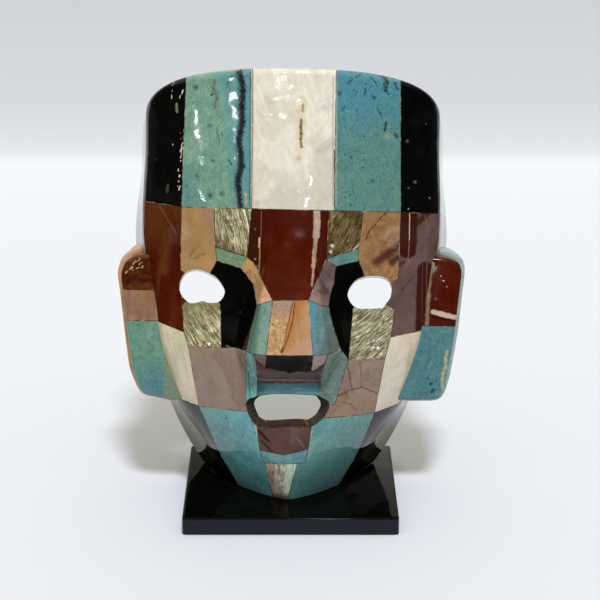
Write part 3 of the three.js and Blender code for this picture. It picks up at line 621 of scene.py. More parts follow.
MOUTH = (
    (-18.5, 38), (-14.6, 40.7), (-8, 41.7), (-1.8, 41.9), (6, 41.7), (13.6, 41.3), (17.6, 37.6),
    (14.8, 31.9), (11.2, 29.2), (8.5, 28.1), (4, 28.8), (-1.5, 28.2), (-7, 27.5), (-11.8, 27.6), (-15, 29),
    (-17.2, 33.1),
)  # fmt: skip
CORNER_SHARE = 0.2  # of each side is cut off to soften a corner
SETTLING_ROUNDS = 4
print("eyes have", [len(edge) for edge in EYE_EDGES.values()], "points and the mouth has", len(MOUTH))

# %% Edges on the surface
def softened(points):
    """Cuts the corners of a closed line, so that it reads as a filed edge."""
    line = np.array(points, float)
    after = np.roll(line, -1, axis=0)
    keep = 1 - CORNER_SHARE
    pairs = [keep * line + CORNER_SHARE * after, CORNER_SHARE * line + keep * after]
    return np.stack(pairs, 1).reshape(-1, 2)


def mouth_line():
    line = softened(MOUTH)
    flat = line.copy()
    for _ in range(SETTLING_ROUNDS):
        line[:, 1] = flat[:, 1] + MOUTH_DROP * (face_depth(line[:, 0], line[:, 1]) - MOUTH_DEPTH)
    return line


def moved_line(line, distance):
    """A closed line that turns to the left, moved outwards."""
    along = np.roll(line, -1, axis=0) - np.roll(line, 1, axis=0)
    along /= np.linalg.norm(along, axis=1)[:, None]
    return line + np.stack([along[:, 1], -along[:, 0]], 1) * distance


def turned_left(line):
    following = np.roll(line, -1, axis=0)
    area = (line[:, 0] * following[:, 1] - following[:, 0] * line[:, 1]).sum()
    return line if area > 0 else line[::-1]


OPENING_LINES = {name: turned_left(softened(edge)) for name, edge in EYE_EDGES.items()}
OPENING_LINES["mouth"] = turned_left(mouth_line())
for name, line in OPENING_LINES.items():
    print(name, "from", line.min(0).round(1), "to", line.max(0).round(1))

# %% [markdown]
# ## The seams
# The mosaic is a net of straight seams. Its corners have names, because most corners are shared by three
# or four stones, and a stone is then the list of corners round it. Corners beyond the head's outline or
# inside an opening are helpers: there the outline or the opening ends the stone.

# %% Seam corners
SEAM = {
    # beyond the outline, so that the outline itself ends the stones
    "sky_far_l": (-80, 195), "sky_black_l": (-46.5, 195), "sky_teal_l": (-17.6, 195),
    "sky_white_r": (18.3, 195), "sky_blue_r": (46.4, 195), "sky_far_r": (80, 195),
    # the level seam between the forehead and the brow
    "brow_far_l": (-80, 125.2), "brow_black_l": (-48.5, 123), "brow_tan_l": (-33.9, 123.5),
    "brow_teal_l": (-17.4, 124), "brow_red_r": (16.2, 123.7), "brow_white_r": (18.4, 123.7),
    "brow_pearl_r": (31.4, 123), "brow_black_r": (48, 122.1), "brow_far_r": (80, 118.9),
    # lower ends of the brow stones, and the slips beside the nose root
    "pearl_outer_l": (-33.3, 106.5), "pearl_inner_l": (-19.4, 102.1), "slip_outer_l": (-32.6, 99.7),
    "slip_inner_l": (-21.8, 97), "pearl_inner_r": (15.5, 102), "pearl_outer_r": (29.6, 106.4),
    "slip_inner_r": (19.8, 98.5), "slip_outer_r": (29.9, 100.7), "bridge_high_l": (-16.6, 100),
    "bridge_mid_l": (-12.5, 93), "bridge_back_l": (-16.4, 90), "bridge_back_r": (18.6, 90),
    # round the eyes
    "eye_middle_l": (-38.8, 87.9), "eye_outer_l": (-49, 94.3), "eye_low_outer_l": (-48, 78.6),
    "eye_low_inner_l": (-31, 80.3), "eye_middle_r": (35.1, 86.4), "eye_outer_r": (47.7, 91.8),
    "eye_low_outer_r": (46.3, 77.8), "eye_low_inner_r": (27.7, 79.2),
    # nose
    "nose_top_l": (-7.7, 84.8), "nose_top": (1.2, 85), "nose_top_r": (7.7, 85.2),
    "wing_top_l": (-14.6, 82.6), "wing_top_r": (16.5, 81.6), "wing_mid_r": (19.1, 72),
    "wing_low_l": (-19.1, 62.7), "wing_low_r": (21.9, 63), "wing_under_l": (-16, 62.2),
    "wing_under_r": (16.4, 62.3), "tip_l": (-10.3, 61.7), "tip": (-3.8, 61.8), "tip_r": (10.1, 62),
    # under the nose, and the upper lip
    "under_outer_l": (-14.8, 59.4), "under_mid_l": (-10.6, 54.8), "under": (0, 52),
    "under_mid_r": (9.6, 53.3), "under_outer_r": (15.1, 57.4), "lip_mid_l": (-14, 46.7),
    "lip_mid_r": (13.5, 47), "lip_low_l": (-14.3, 40.2), "lip_low_r": (13.5, 40.6),
    # cheeks
    "cheek_top_l": (-45.2, 61), "cheek_inner_l": (-30.2, 61.6), "cheek_outer_l": (-47.2, 66.6),
    "cheek_low_l": (-40.3, 33), "cheek_low_inner_l": (-18.9, 33.8), "ear_top_l": (-62, 70.4),
    "side_top_l": (-80, 74), "jaw_top_l": (-53, 35.2), "side_low_l": (-80, 43), "cheek_top_r": (42.3, 56.6),
    "cheek_inner_r": (25.9, 57.2), "cheek_outer_r": (44.7, 66), "cheek_low_r": (38.3, 31.2),
    "cheek_low_inner_r": (15.9, 31.4), "ear_top_r": (63.6, 67.6), "side_top_r": (80, 64.6),
    "jaw_top_r": (55.2, 34.5), "side_low_r": (80, 44), "strip_low_r": (20.3, 37.5),
    # mouth and chin; the two middles lie inside the mouth, where the opening ends the stones
    "mouth_middle_l": (-8, 35), "mouth_middle_r": (6, 35), "mouth_corner_l": (-19, 38),
    "lip_top_l": (-14.5, 30.4), "lip_top_r": (10.4, 30.4), "lower_lip_l": (-12.8, 16.5),
    "lower_lip": (-2.4, 15.2), "lower_lip_r": (8.7, 17.7), "slip_low_l": (-11.4, 11.6),
    "slip_low_r": (7.4, 11.4), "wedge_top_l": (-10.3, 10.6), "wedge_top_r": (4, 11.2),
    "wedge_low_l": (-6.8, -6), "wedge_low_r": (0.2, -5),
    # the seams of the jaws run down to the seat and end below it
    "jaw_high_l": (-35.4, 21.2), "jaw_mid_l": (-30, 8.3), "jaw_low_l": (-22.6, -4),
    "jaw_high_r": (34.8, 20.7), "jaw_mid_r": (30.2, 9.2), "jaw_low_r": (23, -4), "floor_far_l": (-80, -30),
    "floor_jaw_l": (-10.5, -30), "floor_wedge_l": (-6.8, -30), "floor_wedge_r": (0.2, -30),
    "floor_jaw_r": (11, -30), "floor_far_r": (80, -30),
    # rear course
    "rear_ear_far_l": (-80, 103), "rear_ear_near_l": (-40.3, 103), "rear_brow_far_l": (-80, 124),
    "rear_brow_near_l": (-40.3, 124), "rear_ear_far_r": (80, 103), "rear_ear_near_r": (38.3, 103),
    "rear_brow_far_r": (80, 120), "rear_brow_near_r": (38.3, 120),
}  # fmt: skip
print(len(SEAM), "corners")

# %% Stones in front
FRONT_STONES = (
    ("forehead_black_left", "black", "sky_far_l sky_black_l brow_black_l brow_far_l"),
    ("forehead_teal_left", "teal", "sky_black_l sky_teal_l brow_teal_l brow_black_l"),
    ("forehead_white", "white", "sky_teal_l sky_white_r brow_white_r brow_teal_l"),
    ("forehead_blue_right", "blue_teal", "sky_white_r sky_blue_r brow_black_r brow_white_r"),
    ("forehead_black_right", "black", "sky_blue_r sky_far_r brow_far_r brow_black_r"),
    ("temple_red_left", "red",
        "brow_far_l brow_black_l eye_outer_l eye_middle_l eye_low_outer_l cheek_outer_l ear_top_l "
        "side_top_l"),
    ("brow_tan_left", "tan", "brow_black_l brow_tan_l pearl_outer_l slip_outer_l eye_middle_l eye_outer_l"),
    ("brow_pearl_left", "pearl", "brow_tan_l brow_teal_l pearl_inner_l pearl_outer_l"),
    ("brow_red_centre", "red",
        "brow_teal_l brow_red_r pearl_inner_r nose_top_r nose_top nose_top_l bridge_mid_l "
        "bridge_high_l pearl_inner_l"),
    ("brow_pearl_right", "pearl", "brow_red_r brow_pearl_r pearl_outer_r pearl_inner_r"),
    ("brow_tan_right", "tan",
        "brow_pearl_r brow_black_r eye_outer_r eye_middle_r slip_outer_r pearl_outer_r"),
    ("temple_mauve_right", "mauve",
        "brow_black_r brow_far_r side_top_r ear_top_r cheek_outer_r eye_low_outer_r eye_middle_r "
        "eye_outer_r"),
    ("brow_slip_teal_left", "teal", "pearl_outer_l pearl_inner_l slip_inner_l slip_outer_l"),
    ("brow_slip_teal_right", "teal", "pearl_inner_r pearl_outer_r slip_outer_r slip_inner_r"),
    ("bridge_tan_left", "tan",
        "pearl_inner_l bridge_high_l bridge_mid_l nose_top_l wing_top_l bridge_back_l slip_inner_l"),
    ("bridge_mauve_right", "mauve", "pearl_inner_r slip_inner_r bridge_back_r wing_top_r nose_top_r"),
    ("eye_black_left", "black",
        "slip_outer_l slip_inner_l bridge_back_l wing_top_l wing_low_l cheek_inner_l eye_low_inner_l "
        "eye_middle_l"),
    ("eye_black_right", "black",
        "slip_outer_r eye_middle_r eye_low_inner_r cheek_inner_r wing_low_r wing_mid_r wing_top_r "
        "bridge_back_r slip_inner_r"),
    ("cheekbone_pearl_left", "pearl",
        "eye_middle_l eye_low_inner_l cheek_inner_l cheek_top_l cheek_outer_l eye_low_outer_l"),
    ("cheekbone_pearl_right", "pearl",
        "eye_middle_r eye_low_outer_r cheek_outer_r cheek_top_r cheek_inner_r eye_low_inner_r"),
    ("nose_wing_left", "teal", "wing_top_l nose_top_l tip_l wing_under_l wing_low_l"),
    ("nose_ridge_left", "tan", "nose_top_l nose_top tip tip_l"),
    ("nose_ridge_right", "tan", "nose_top nose_top_r tip_r tip"),
    ("nose_wing_right", "blue_teal", "nose_top_r wing_top_r wing_mid_r wing_low_r wing_under_r tip_r"),
    ("nose_under_left", "salmon", "tip_l under_mid_l under_outer_l wing_under_l"),
    ("nose_under_centre", "black", "tip_l tip tip_r under_mid_r under under_mid_l"),
    ("nose_under_right", "mauve", "tip_r wing_under_r under_outer_r under_mid_r"),
    ("upper_lip_mauve", "mauve",
        "under_outer_l under_mid_l under under_mid_r under_outer_r lip_mid_r lip_mid_l"),
    ("upper_lip_blue", "blue_teal",
        "lip_mid_l lip_mid_r lip_low_r mouth_middle_r mouth_middle_l lip_low_l"),
    ("mouth_strip_left", "teal",
        "wing_low_l wing_under_l under_outer_l lip_mid_l lip_low_l mouth_middle_l mouth_corner_l"),
    ("mouth_strip_right", "teal",
        "wing_under_r wing_low_r cheek_inner_r strip_low_r mouth_middle_r lip_low_r lip_mid_r "
        "under_outer_r"),
    ("cheek_mauve_left", "mauve",
        "cheek_top_l cheek_inner_l wing_low_l mouth_corner_l mouth_middle_l cheek_low_inner_l "
        "cheek_low_l"),
    ("cheek_mauve_right", "mauve",
        "cheek_inner_r cheek_top_r cheek_low_r cheek_low_inner_r mouth_middle_r strip_low_r"),
    ("cheek_white_left", "white",
        "side_top_l ear_top_l cheek_outer_l cheek_top_l cheek_low_l jaw_top_l side_low_l"),
    ("cheek_white_right", "white",
        "side_top_r side_low_r jaw_top_r cheek_low_r cheek_top_r cheek_outer_r ear_top_r"),
    ("lower_lip", "mauve",
        "lip_top_l mouth_middle_l mouth_middle_r lip_top_r lower_lip_r lower_lip lower_lip_l"),
    ("lip_slip_teal", "teal",
        "lower_lip_l lower_lip lower_lip_r slip_low_r wedge_top_r wedge_top_l slip_low_l"),
    ("chin_wedge_pearl", "pearl",
        "wedge_top_l wedge_top_r wedge_low_r floor_wedge_r floor_wedge_l wedge_low_l"),
)  # fmt: skip
print(len(FRONT_STONES), "stones in front")

# %% Stones that reach the rear, and the rear course
LOW_STONES = (
    ("chin_teal_left", "teal",
        "cheek_low_l cheek_low_inner_l mouth_middle_l lip_top_l lower_lip_l slip_low_l wedge_top_l "
        "wedge_low_l floor_wedge_l floor_jaw_l jaw_low_l jaw_mid_l jaw_high_l"),
    ("chin_teal_right", "teal",
        "cheek_low_r jaw_high_r jaw_mid_r jaw_low_r floor_jaw_r floor_wedge_r wedge_low_r wedge_top_r "
        "slip_low_r lower_lip_r lip_top_r mouth_middle_r cheek_low_inner_r"),
    ("jaw_black_left", "black",
        "cheek_low_l jaw_high_l jaw_mid_l jaw_low_l floor_jaw_l floor_far_l side_low_l jaw_top_l"),
    ("jaw_black_right", "black",
        "cheek_low_r jaw_top_r side_low_r floor_far_r floor_jaw_r jaw_low_r jaw_mid_r jaw_high_r"),
)  # fmt: skip
REAR_STONES = (
    ("rear_ear_left", "mauve", "rear_ear_far_l rear_ear_near_l cheek_low_l jaw_top_l side_low_l"),
    ("rear_temple_left", "mauve", "rear_brow_far_l rear_brow_near_l rear_ear_near_l rear_ear_far_l"),
    ("rear_crown_left", "teal", "sky_far_l sky_teal_l brow_teal_l rear_brow_near_l rear_brow_far_l"),
    ("rear_crown_centre", "white", "sky_teal_l sky_white_r brow_white_r brow_teal_l"),
    ("rear_crown_right", "teal", "sky_white_r sky_far_r rear_brow_far_r rear_brow_near_r brow_white_r"),
    ("rear_temple_right", "mauve", "rear_brow_far_r rear_ear_far_r rear_ear_near_r rear_brow_near_r"),
    ("rear_ear_right", "mauve", "rear_ear_near_r rear_ear_far_r side_low_r jaw_top_r cheek_low_r"),
)  # fmt: skip
print(len(LOW_STONES) + len(REAR_STONES), "more, of which", len(LOW_STONES), "are jaws and chin")

# %% [markdown]
# ## Sawing a blank
# A stone starts as a flat grid of square cells, like graph paper laid over its part of the drawing. Every
# seam is a cut right through the grid with bisect_plane, which splits cells but moves nothing. Curved
# lines, such as an eye's edge, are many short cuts, each kept to the cells close by. What lies outside is
# then deleted.

# %% Lines
STRAIGHT_ON = 0.05  # a corner that bends less than this isn't mitred
LEVEL_STEP = 1e-12  # stands for the height of a step that is level


def inset_line(points, distance):
    """Moves every edge of an outline inwards by a distance, with mitred corners."""
    corners = np.array(points, float)
    ahead = np.roll(corners, -1, axis=0)
    area = (corners[:, 0] * ahead[:, 1] - ahead[:, 0] * corners[:, 1]).sum()
    along = ahead - corners
    along /= np.linalg.norm(along, axis=1)[:, None]
    start = corners + np.stack([-along[:, 1], along[:, 0]], 1) * math.copysign(distance, area)
    moved = []
    for i in range(len(corners)):
        before = along[i - 1]
        bend = before[0] * along[i][1] - before[1] * along[i][0]
        gap = start[i] - start[i - 1]
        far = (gap[0] * along[i][1] - gap[1] * along[i][0]) / bend if abs(bend) > STRAIGHT_ON else 0
        moved.append(start[i - 1] + before * far if far else start[i])
    return np.array(moved)


def within(points, line):
    """True for each point inside a closed line."""
    x, z = points[:, :1], points[:, 1:2]
    x1, z1 = line[:, 0], line[:, 1]
    x2, z2 = np.roll(x1, -1), np.roll(z1, -1)
    flat = np.where(z2 == z1, LEVEL_STEP, z2 - z1)
    crossing = ((z1 > z) != (z2 > z)) & (x < x1 + (z - z1) * (x2 - x1) / flat)
    return crossing.sum(1) % 2 == 1


def distance_to(points, line):
    """How far each point is from a closed line."""
    along = np.roll(line, -1, axis=0) - line
    gap = points[:, None, :] - line
    share = np.clip((gap * along).sum(2) / np.maximum((along**2).sum(1), TINY), 0, 1)
    return np.sqrt(((gap - share[..., None] * along) ** 2).sum(2)).min(1)


square = np.array([(0, 0), (4, 0), (4, 4), (0, 4)], float)
print("a square of 4 mm, inset by 1 mm, is", np.ptp(inset_line(square, 1)[:, 0]), "mm wide")

# %% Blanks and cuts
PITCH = 1.0  # millimetres between the lines of the grid
LOWEST = -13.0  # the blanks end below the plane the mask stands on
SAME_SPOT = 1e-4


def graph_paper(low, high):
    counts = np.maximum(np.ceil((high - low) / PITCH), 1).astype(int)
    middle = (low + high) / 2
    half = counts * PITCH / 2
    bm = bmesh.new()
    place = Matrix.Translation((*middle, 0)) @ Matrix.Diagonal((*half, 1, 1))
    bmesh.ops.create_grid(bm, x_segments=int(counts[0]), y_segments=int(counts[1]), size=1, matrix=place)
    return bm


def everything(bm):
    return bm.verts[:] + bm.edges[:] + bm.faces[:]


def split(bm, point, normal, cells=None):
    """Cuts cells with a plane and keeps both sides."""
    bmesh.ops.bisect_plane(bm, geom=cells or everything(bm), dist=SAME_SPOT, plane_co=point, plane_no=normal)


def saw_across(bm, start, end, cells=None):
    """Cuts every cell on the line through two points."""
    along = Vector((*(end - start), 0)).normalized()
    split(bm, (*start, 0), (along.y, -along.x, 0), cells)


def saw_along(bm, line, closed=True):
    """Cuts the cells along a curved line, one short step after another."""
    low = np.array([min(v.co[k] for v in bm.verts) for k in (0, 1)]) - PITCH
    high = np.array([max(v.co[k] for v in bm.verts) for k in (0, 1)]) + PITCH
    ends = np.roll(line, -1, axis=0) if closed else line[1:]
    for start, end in zip(line, ends):
        if (np.maximum(start, end) < low).any() or (np.minimum(start, end) > high).any():
            continue
        x, z = (start + end) / 2
        reach = np.linalg.norm(end - start) / 2 + 2 * PITCH
        firsts = [(face, face.verts[0].co) for face in bm.faces]
        near = [face for face, first in firsts if abs(first.x - x) < reach and abs(first.y - z) < reach]
        edges = {edge for face in near for edge in face.edges}
        corners = {corner for face in near for corner in face.verts}
        if near:
            saw_across(bm, start, end, [*near, *edges, *corners])


def middles_of(faces):
    return np.array([face.calc_center_median()[:2] for face in faces])


def keep_cells(bm, rule):
    """Deletes the cells whose middle breaks a rule."""
    faces = bm.faces[:]
    keep = rule(middles_of(faces))
    bmesh.ops.delete(bm, geom=[f for f, good in zip(faces, keep) if not good], context="FACES")


print("blanks have cells of", PITCH, "mm")

# %% [markdown]
# ## Cutting a stone out
# On the real mask the slabs were sawn and fitted one by one, with a crack of a few hundredths of a
# millimetre between them and a thin line of glue on both sides. Here every stone's outline is moved
# inwards by half the crack, and a second cut a little further in parts the glue from the stone. The rows
# of cells along the outline, the openings and the nose are cut once more, so that every later bend falls
# on an edge.

# %% Lines to cut along
GAP = 0.03  # half of the crack between two stones
GLUE = 0.11  # the glue line shows this wide on each stone
WALL = 8.0  # thickness of the head's side walls
WALL_STEP = 0.15
RIM_ROUND = 0.9  # the openings' edges are rounded by this much
RIM_CUTS = (0.35, 1)  # where the rounding gets its rows of cells, in shares of its width
NOSE_CUT_HEIGHTS = np.arange(50, 117, 2.0)
FOOT_CUTS = (-0.9, -0.3, 0.3, 0.9)  # millimetres beside the nose's foot
FLANK_CUTS = (-0.6, 0, 0.6)  # and beside the edges of its ridge

WALL_LINE = line_offset(WALL)
LEDGE_LINE = line_offset(WALL - WALL_STEP)


def nose_lines():
    """Lines along the nose's edges and along its foot, where the surface turns within a cell."""
    z = NOSE_CUT_HEIGHTS
    halves = np.interp(z, NOSE_HEIGHTS, NOSE_HALVES)
    lines = []
    for side in (-1, 1):
        across = [nose_foot(z) + shift for shift in FOOT_CUTS] + [halves + shift for shift in FLANK_CUTS]
        lines += [np.stack([side * x, z], 1) for x in across]
    return lines


NOSE_LINES = nose_lines()
print(len(NOSE_LINES), "lines along the nose")

# %% Cut-outs
GLUE_SLOT, FILED_SLOT = 1, 2
FILED_TOP = 40  # the upper lip's edge, above this height, is polished
BOX_MARGIN = 2
NOSE_REACH, NOSE_BOTTOM, NOSE_TOP = 24, 52, 112  # stones beyond these need no cut along the nose


def open_up(bm, line):
    """Cuts an opening through a cut-out, with rows of cells along its edge."""
    saw_along(bm, line)
    keep_cells(bm, lambda p: ~within(p, line))
    for share in RIM_CUTS:
        saw_along(bm, moved_line(line, RIM_ROUND * share))


def coloured(bm, stone_edge):
    for face, in_stone in zip(bm.faces, within(middles_of(bm.faces), stone_edge)):
        face.material_index = 0 if in_stone else GLUE_SLOT
    return bm


def sawn(corners, rear=False):
    """The flat cut-out of a stone: cells of the stone in slot 0 and the glue round it in slot 1."""
    drawn = np.array([SEAM[corner] for corner in corners.split()], float)
    edge = inset_line(drawn, GAP)
    stone_edge = inset_line(drawn, GAP + GLUE)
    low = np.maximum(edge.min(0), (BLANK_LINE[:, 0].min(), LOWEST))
    high = np.minimum(edge.max(0), BLANK_LINE.max(0))
    bm = graph_paper(np.floor(low / PITCH) * PITCH, np.ceil(high / PITCH) * PITCH)
    for line in (edge, stone_edge):
        for start, end in zip(line, np.roll(line, -1, axis=0)):
            saw_across(bm, start, end)
    keep_cells(bm, lambda p: within(p, edge))
    saw_along(bm, BLANK_LINE)
    keep_cells(bm, lambda p: within(p, BLANK_LINE))
    saw_along(bm, WALL_LINE)
    saw_along(bm, LEDGE_LINE)
    if rear:
        keep_cells(bm, lambda p: ~within(p, WALL_LINE))
        return coloured(bm, stone_edge), edge
    for line in OPENING_LINES.values():
        box_low, box_high = line.min(0) - BOX_MARGIN, line.max(0) + BOX_MARGIN
        if (edge.max(0) >= box_low).all() and (edge.min(0) <= box_high).all():
            open_up(bm, line)
    if abs(edge[:, 0]).min() < NOSE_REACH and edge[:, 1].max() > NOSE_BOTTOM and edge[:, 1].min() < NOSE_TOP:
        for line in NOSE_LINES:
            saw_along(bm, line, closed=False)
    coloured(bm, stone_edge)
    near_mouth = distance_to(middles_of(bm.faces), OPENING_LINES["mouth"]) < RIM_ROUND
    for face, near in zip(bm.faces, near_mouth):
        if near and face.calc_center_median().y < FILED_TOP:
            face.material_index = FILED_SLOT
    return bm, edge


print("cracks of", 2 * GAP, "mm and glue lines of", GLUE, "mm")

# %% [markdown]
# ## From a flat cut-out to a stone
# The cut-out gets its thickness by extruding it, and then both skins are bent: the front one onto the
# carved surface, rolled over a small radius where it meets the head's outline, and the rear one onto the
# inner face. Cells within a wall's thickness of the outline go right back, so a rim stone is an angle, as
# the real one is.

# %% Thickness
ON_LINE = 0.01  # nearer to a line than this is on it


def thickened(bm, edge):
    """Extrudes the cut-out, covers its walls along seams with glue, and returns the front skin's corners."""
    cut_out = bm.faces[:] + bm.edges[:] + bm.verts[:]
    made = bmesh.ops.extrude_face_region(bm, geom=cut_out, use_keep_orig=True)
    front = {item for item in made["geom"] if isinstance(item, bmesh.types.BMVert)}
    front_faces = {item for item in made["geom"] if isinstance(item, bmesh.types.BMFace)}
    walls = [f for f in bm.faces if len(front.intersection(f.verts)) == 2 and f not in front_faces]
    from_seam = distance_to(middles_of(walls), edge)
    from_mouth = distance_to(middles_of(walls), OPENING_LINES["mouth"])
    for face, seam_gap, mouth_gap in zip(walls, from_seam, from_mouth):
        face.material_index = GLUE_SLOT if seam_gap < ON_LINE else 0
        if mouth_gap < ON_LINE:
            face.material_index = FILED_SLOT
    return front


print("the front stones will be about", FACE_WALL, "mm thick")

# %% [markdown]
# ## The mouth's filed wall
# The mouth was drilled and then filed wider from the front, so its wall isn't square to the face. At both
# corners the wall leans into the opening towards the back, and the lower lip's wall rises. A slant is a
# shift for each millimetre of depth, so the same few numbers serve for every corner of the mesh.

# %% Slant of the mouth's wall
MOUTH_MIDDLE = (-0.5, 35)
SLANT_LEFT, SLANT_RIGHT = 0.33, 0.36  # how far the corners' walls lean in, for each millimetre of depth
LIP_RISE = 0.25  # the same for the lower lip's wall
SLANT_FROM, SLANT_OVER = 8, 9  # where the corners' slant begins, and how much further out it is whole
RISE_OVER = 7


def mouth_slant(flat):
    """How far the wall of the mouth's opening leans into it, across and up, for each millimetre of depth."""
    aside, below = flat[:, 0] - MOUTH_MIDDLE[0], MOUTH_MIDDLE[1] - flat[:, 1]
    slant = np.where(aside > 0, SLANT_RIGHT, SLANT_LEFT)
    across = -np.sign(aside) * slant * np.clip((abs(aside) - SLANT_FROM) / SLANT_OVER, 0, 1)
    return np.stack([across, LIP_RISE * np.clip(below / RISE_OVER, 0, 1)], 1)


corner_and_lip = mouth_slant(np.array([[-18.0, 35.0], [-0.5, 28.0]]))
print("slant at the left corner and at the lower lip:", corner_and_lip.round(2).tolist())

# %% Bending
COURSE = 27.0  # the front stones end here, and the rear course goes on to the rear rim
PAST_REAR = 1  # the rim runs on behind the rear plane, and is cut off there
LAG_OVER = 10  # behind the wall, the inner face follows the slant of the sides over this distance
OPENING_REACH = 12  # an opening's slope fades out over this distance
REACH_ON = 1.6  # the rear course's inner wall is drawn longer than it is, and is cut off in front


def rolled_front(flat, inside, foot, inward, backward):
    """The front skin, rolled over the outline's edge: where each corner goes, and its depth."""
    radius = edge_radius(flat[:, 0])
    angle = np.clip(inside / radius + QUARTER, 0, math.pi / 2)
    rolled = inside < radius
    drop = np.where(rolled, radius * (1 - np.sin(angle)), 0)
    rolled_plan = foot + inward * (radius * (1 - np.cos(angle)))[:, None] + backward * drop[:, None]
    plan = np.where(rolled[:, None], rolled_plan, flat)
    return plan, face_depth(plan[:, 0], plan[:, 1]) - drop


def sloped(flat, front_depth, rear_depth, rear_plan):
    """Rounds the openings' edges in front and slopes their walls behind, in place."""
    for name, line in OPENING_LINES.items():
        away = distance_to(flat, line)
        if away.min() > OPENING_REACH:
            continue
        round_off = RIM_ROUND - np.minimum(away, RIM_ROUND)
        front_depth -= RIM_ROUND - np.sqrt(RIM_ROUND**2 - round_off**2)
        fade = np.clip(1 - away / OPENING_REACH, 0, 1)
        rear_plan[:, 1] -= OPENINGS[name] * fade * (front_depth - rear_depth)
        if name == "mouth":
            rear_plan += mouth_slant(flat) * (fade * (front_depth - rear_depth))[:, None]


def bend(bm, front, rear=False):
    """Moves a thickened cut-out's two skins to their places in the mask's frame."""
    corners = bm.verts[:]
    flat = np.array([corner.co[:2] for corner in corners])
    is_front = np.array([corner in front for corner in corners])
    step, share, inside = nearest_on_line(flat).T
    foot = at_step(FRONT_LINE, step, share)
    inward = at_step(INWARD, step, share)
    backward = at_step(BACKWARD, step, share)
    line_depth = at_step(LINE_DEPTH[:, None], step, share)[:, 0]
    plan, front_depth = rolled_front(flat, inside, foot, inward, backward)

    # the rear skin: the inner face, and the rim all the way back
    rear_depth = inner_depth(flat[:, 0], flat[:, 1])
    behind = np.maximum(line_depth - rear_depth, 0)
    rear_plan = flat + backward * (behind * np.clip(1 - (inside - WALL) / LAG_OVER, 0, 1))[:, None]
    in_rim = inside < WALL - WALL_STEP / 2
    rim_plan = foot + inward * np.maximum(inside, 0)[:, None] + backward * (line_depth + PAST_REAR)[:, None]
    sloped(flat, front_depth, rear_depth, rear_plan)

    if rear:
        # the rear course's inner wall is the same plane as the front stones' inner wall
        top = flat + backward * behind[:, None]
        on_wall = ~in_rim
        plan = np.where(on_wall[:, None], rim_plan + (top - rim_plan) * REACH_ON, plan)
        front_depth = np.where(on_wall, (rear_depth + PAST_REAR) * REACH_ON - PAST_REAR, front_depth)
        in_rim |= True
    plan_out = np.where(is_front[:, None], plan, np.where(in_rim[:, None], rim_plan, rear_plan))
    depth = np.where(is_front, front_depth, np.where(in_rim, -PAST_REAR, rear_depth))
    for corner, (x, z), d in zip(corners, plan_out, depth):
        corner.co = (x, -d, z)


print("front stones end", COURSE, "mm in front of the rear plane")

# %% [markdown]
# ## Ground flats and the finished piece
# The mask's seat, its rear plane and the seam between the front stones and the rear course are flat,
# because they were ground on a wheel. So each is one plane: what lies beyond it is dropped, and the hole
# is filled with a face. A finished piece gets smooth shading, except where two faces meet at a sharp
# angle.

# %% Flats
def cut_off(bm, point, normal, slot=0):
    """Cuts a solid with a plane, drops what is on the normal's side, and closes the cut."""
    plane = {"plane_co": point, "plane_no": normal, "clear_outer": True}
    cut = bmesh.ops.bisect_plane(bm, geom=everything(bm), dist=SAME_SPOT, **plane)
    edges = [item for item in cut["geom_cut"] if isinstance(item, bmesh.types.BMEdge)]
    if edges:
        filled = bmesh.ops.holes_fill(bm, edges=edges, sides=0)
        for face in filled["faces"]:
            face.material_index = slot


WORLD_TO_MASK = MASK_TO_WORLD.inverted()
SEAT_POINT = WORLD_TO_MASK @ Vector((0, 0, LEVEL))
SEAT_DOWN = (WORLD_TO_MASK.to_3x3() @ Vector((0, 0, -1))).normalized()
BACKWARDS = Vector((0, 1, 0))
FORWARDS = Vector((0, -1, 0))
print("the seat's plane crosses the mask's middle", round(SEAT_POINT.z, 2), "mm from its zero")

# %% Pieces
SHARP = math.radians(32)


def finished(name, bm, materials):
    """Makes a piece of a solid in the mask's frame, standing in its place in the world."""
    bmesh.ops.transform(bm, matrix=MASK_TO_WORLD, verts=bm.verts)
    return piece_of(name, bm, materials)


def piece_of(name, bm, materials):
    bmesh.ops.recalc_face_normals(bm, faces=bm.faces)
    if bm.calc_volume(signed=True) < 0:
        bmesh.ops.reverse_faces(bm, faces=bm.faces)
    open_edges = sum(not edge.is_manifold for edge in bm.edges)
    for face in bm.faces:
        face.smooth = True
    highest = max(face.material_index for face in bm.faces)
    mesh = bpy.data.meshes.new(name)
    bm.to_mesh(mesh)
    bm.free()
    mesh.set_sharp_from_angle(angle=SHARP)
    for material in materials[: highest + 1]:
        mesh.materials.append(material)
    piece = bpy.data.objects.new(name, mesh)
    bpy.context.collection.objects.link(piece)
    if open_edges:
        print("   ", name, "has", open_edges, "open edges")
    return piece


def face_stone(name, corners, materials):
    """A stone of the front layer, sawn off where the rear course begins."""
    bm, edge = sawn(corners)
    bend(bm, thickened(bm, edge))
    back = COURSE + GAP
    if min(v.co.y for v in bm.verts) < -back < max(v.co.y for v in bm.verts):
        cut_off(bm, (0, -back, 0), BACKWARDS, GLUE_SLOT)
    cut_off(bm, SEAT_POINT, SEAT_DOWN)
    return finished(name, bm, materials)


def whole_stone(name, corners, materials):
    """A stone of the jaws or the chin, which reaches the rear plane."""
    bm, edge = sawn(corners)
    bend(bm, thickened(bm, edge))
    cut_off(bm, (0, 0, 0), BACKWARDS)
    cut_off(bm, SEAT_POINT, SEAT_DOWN)
    return finished(name, bm, materials)


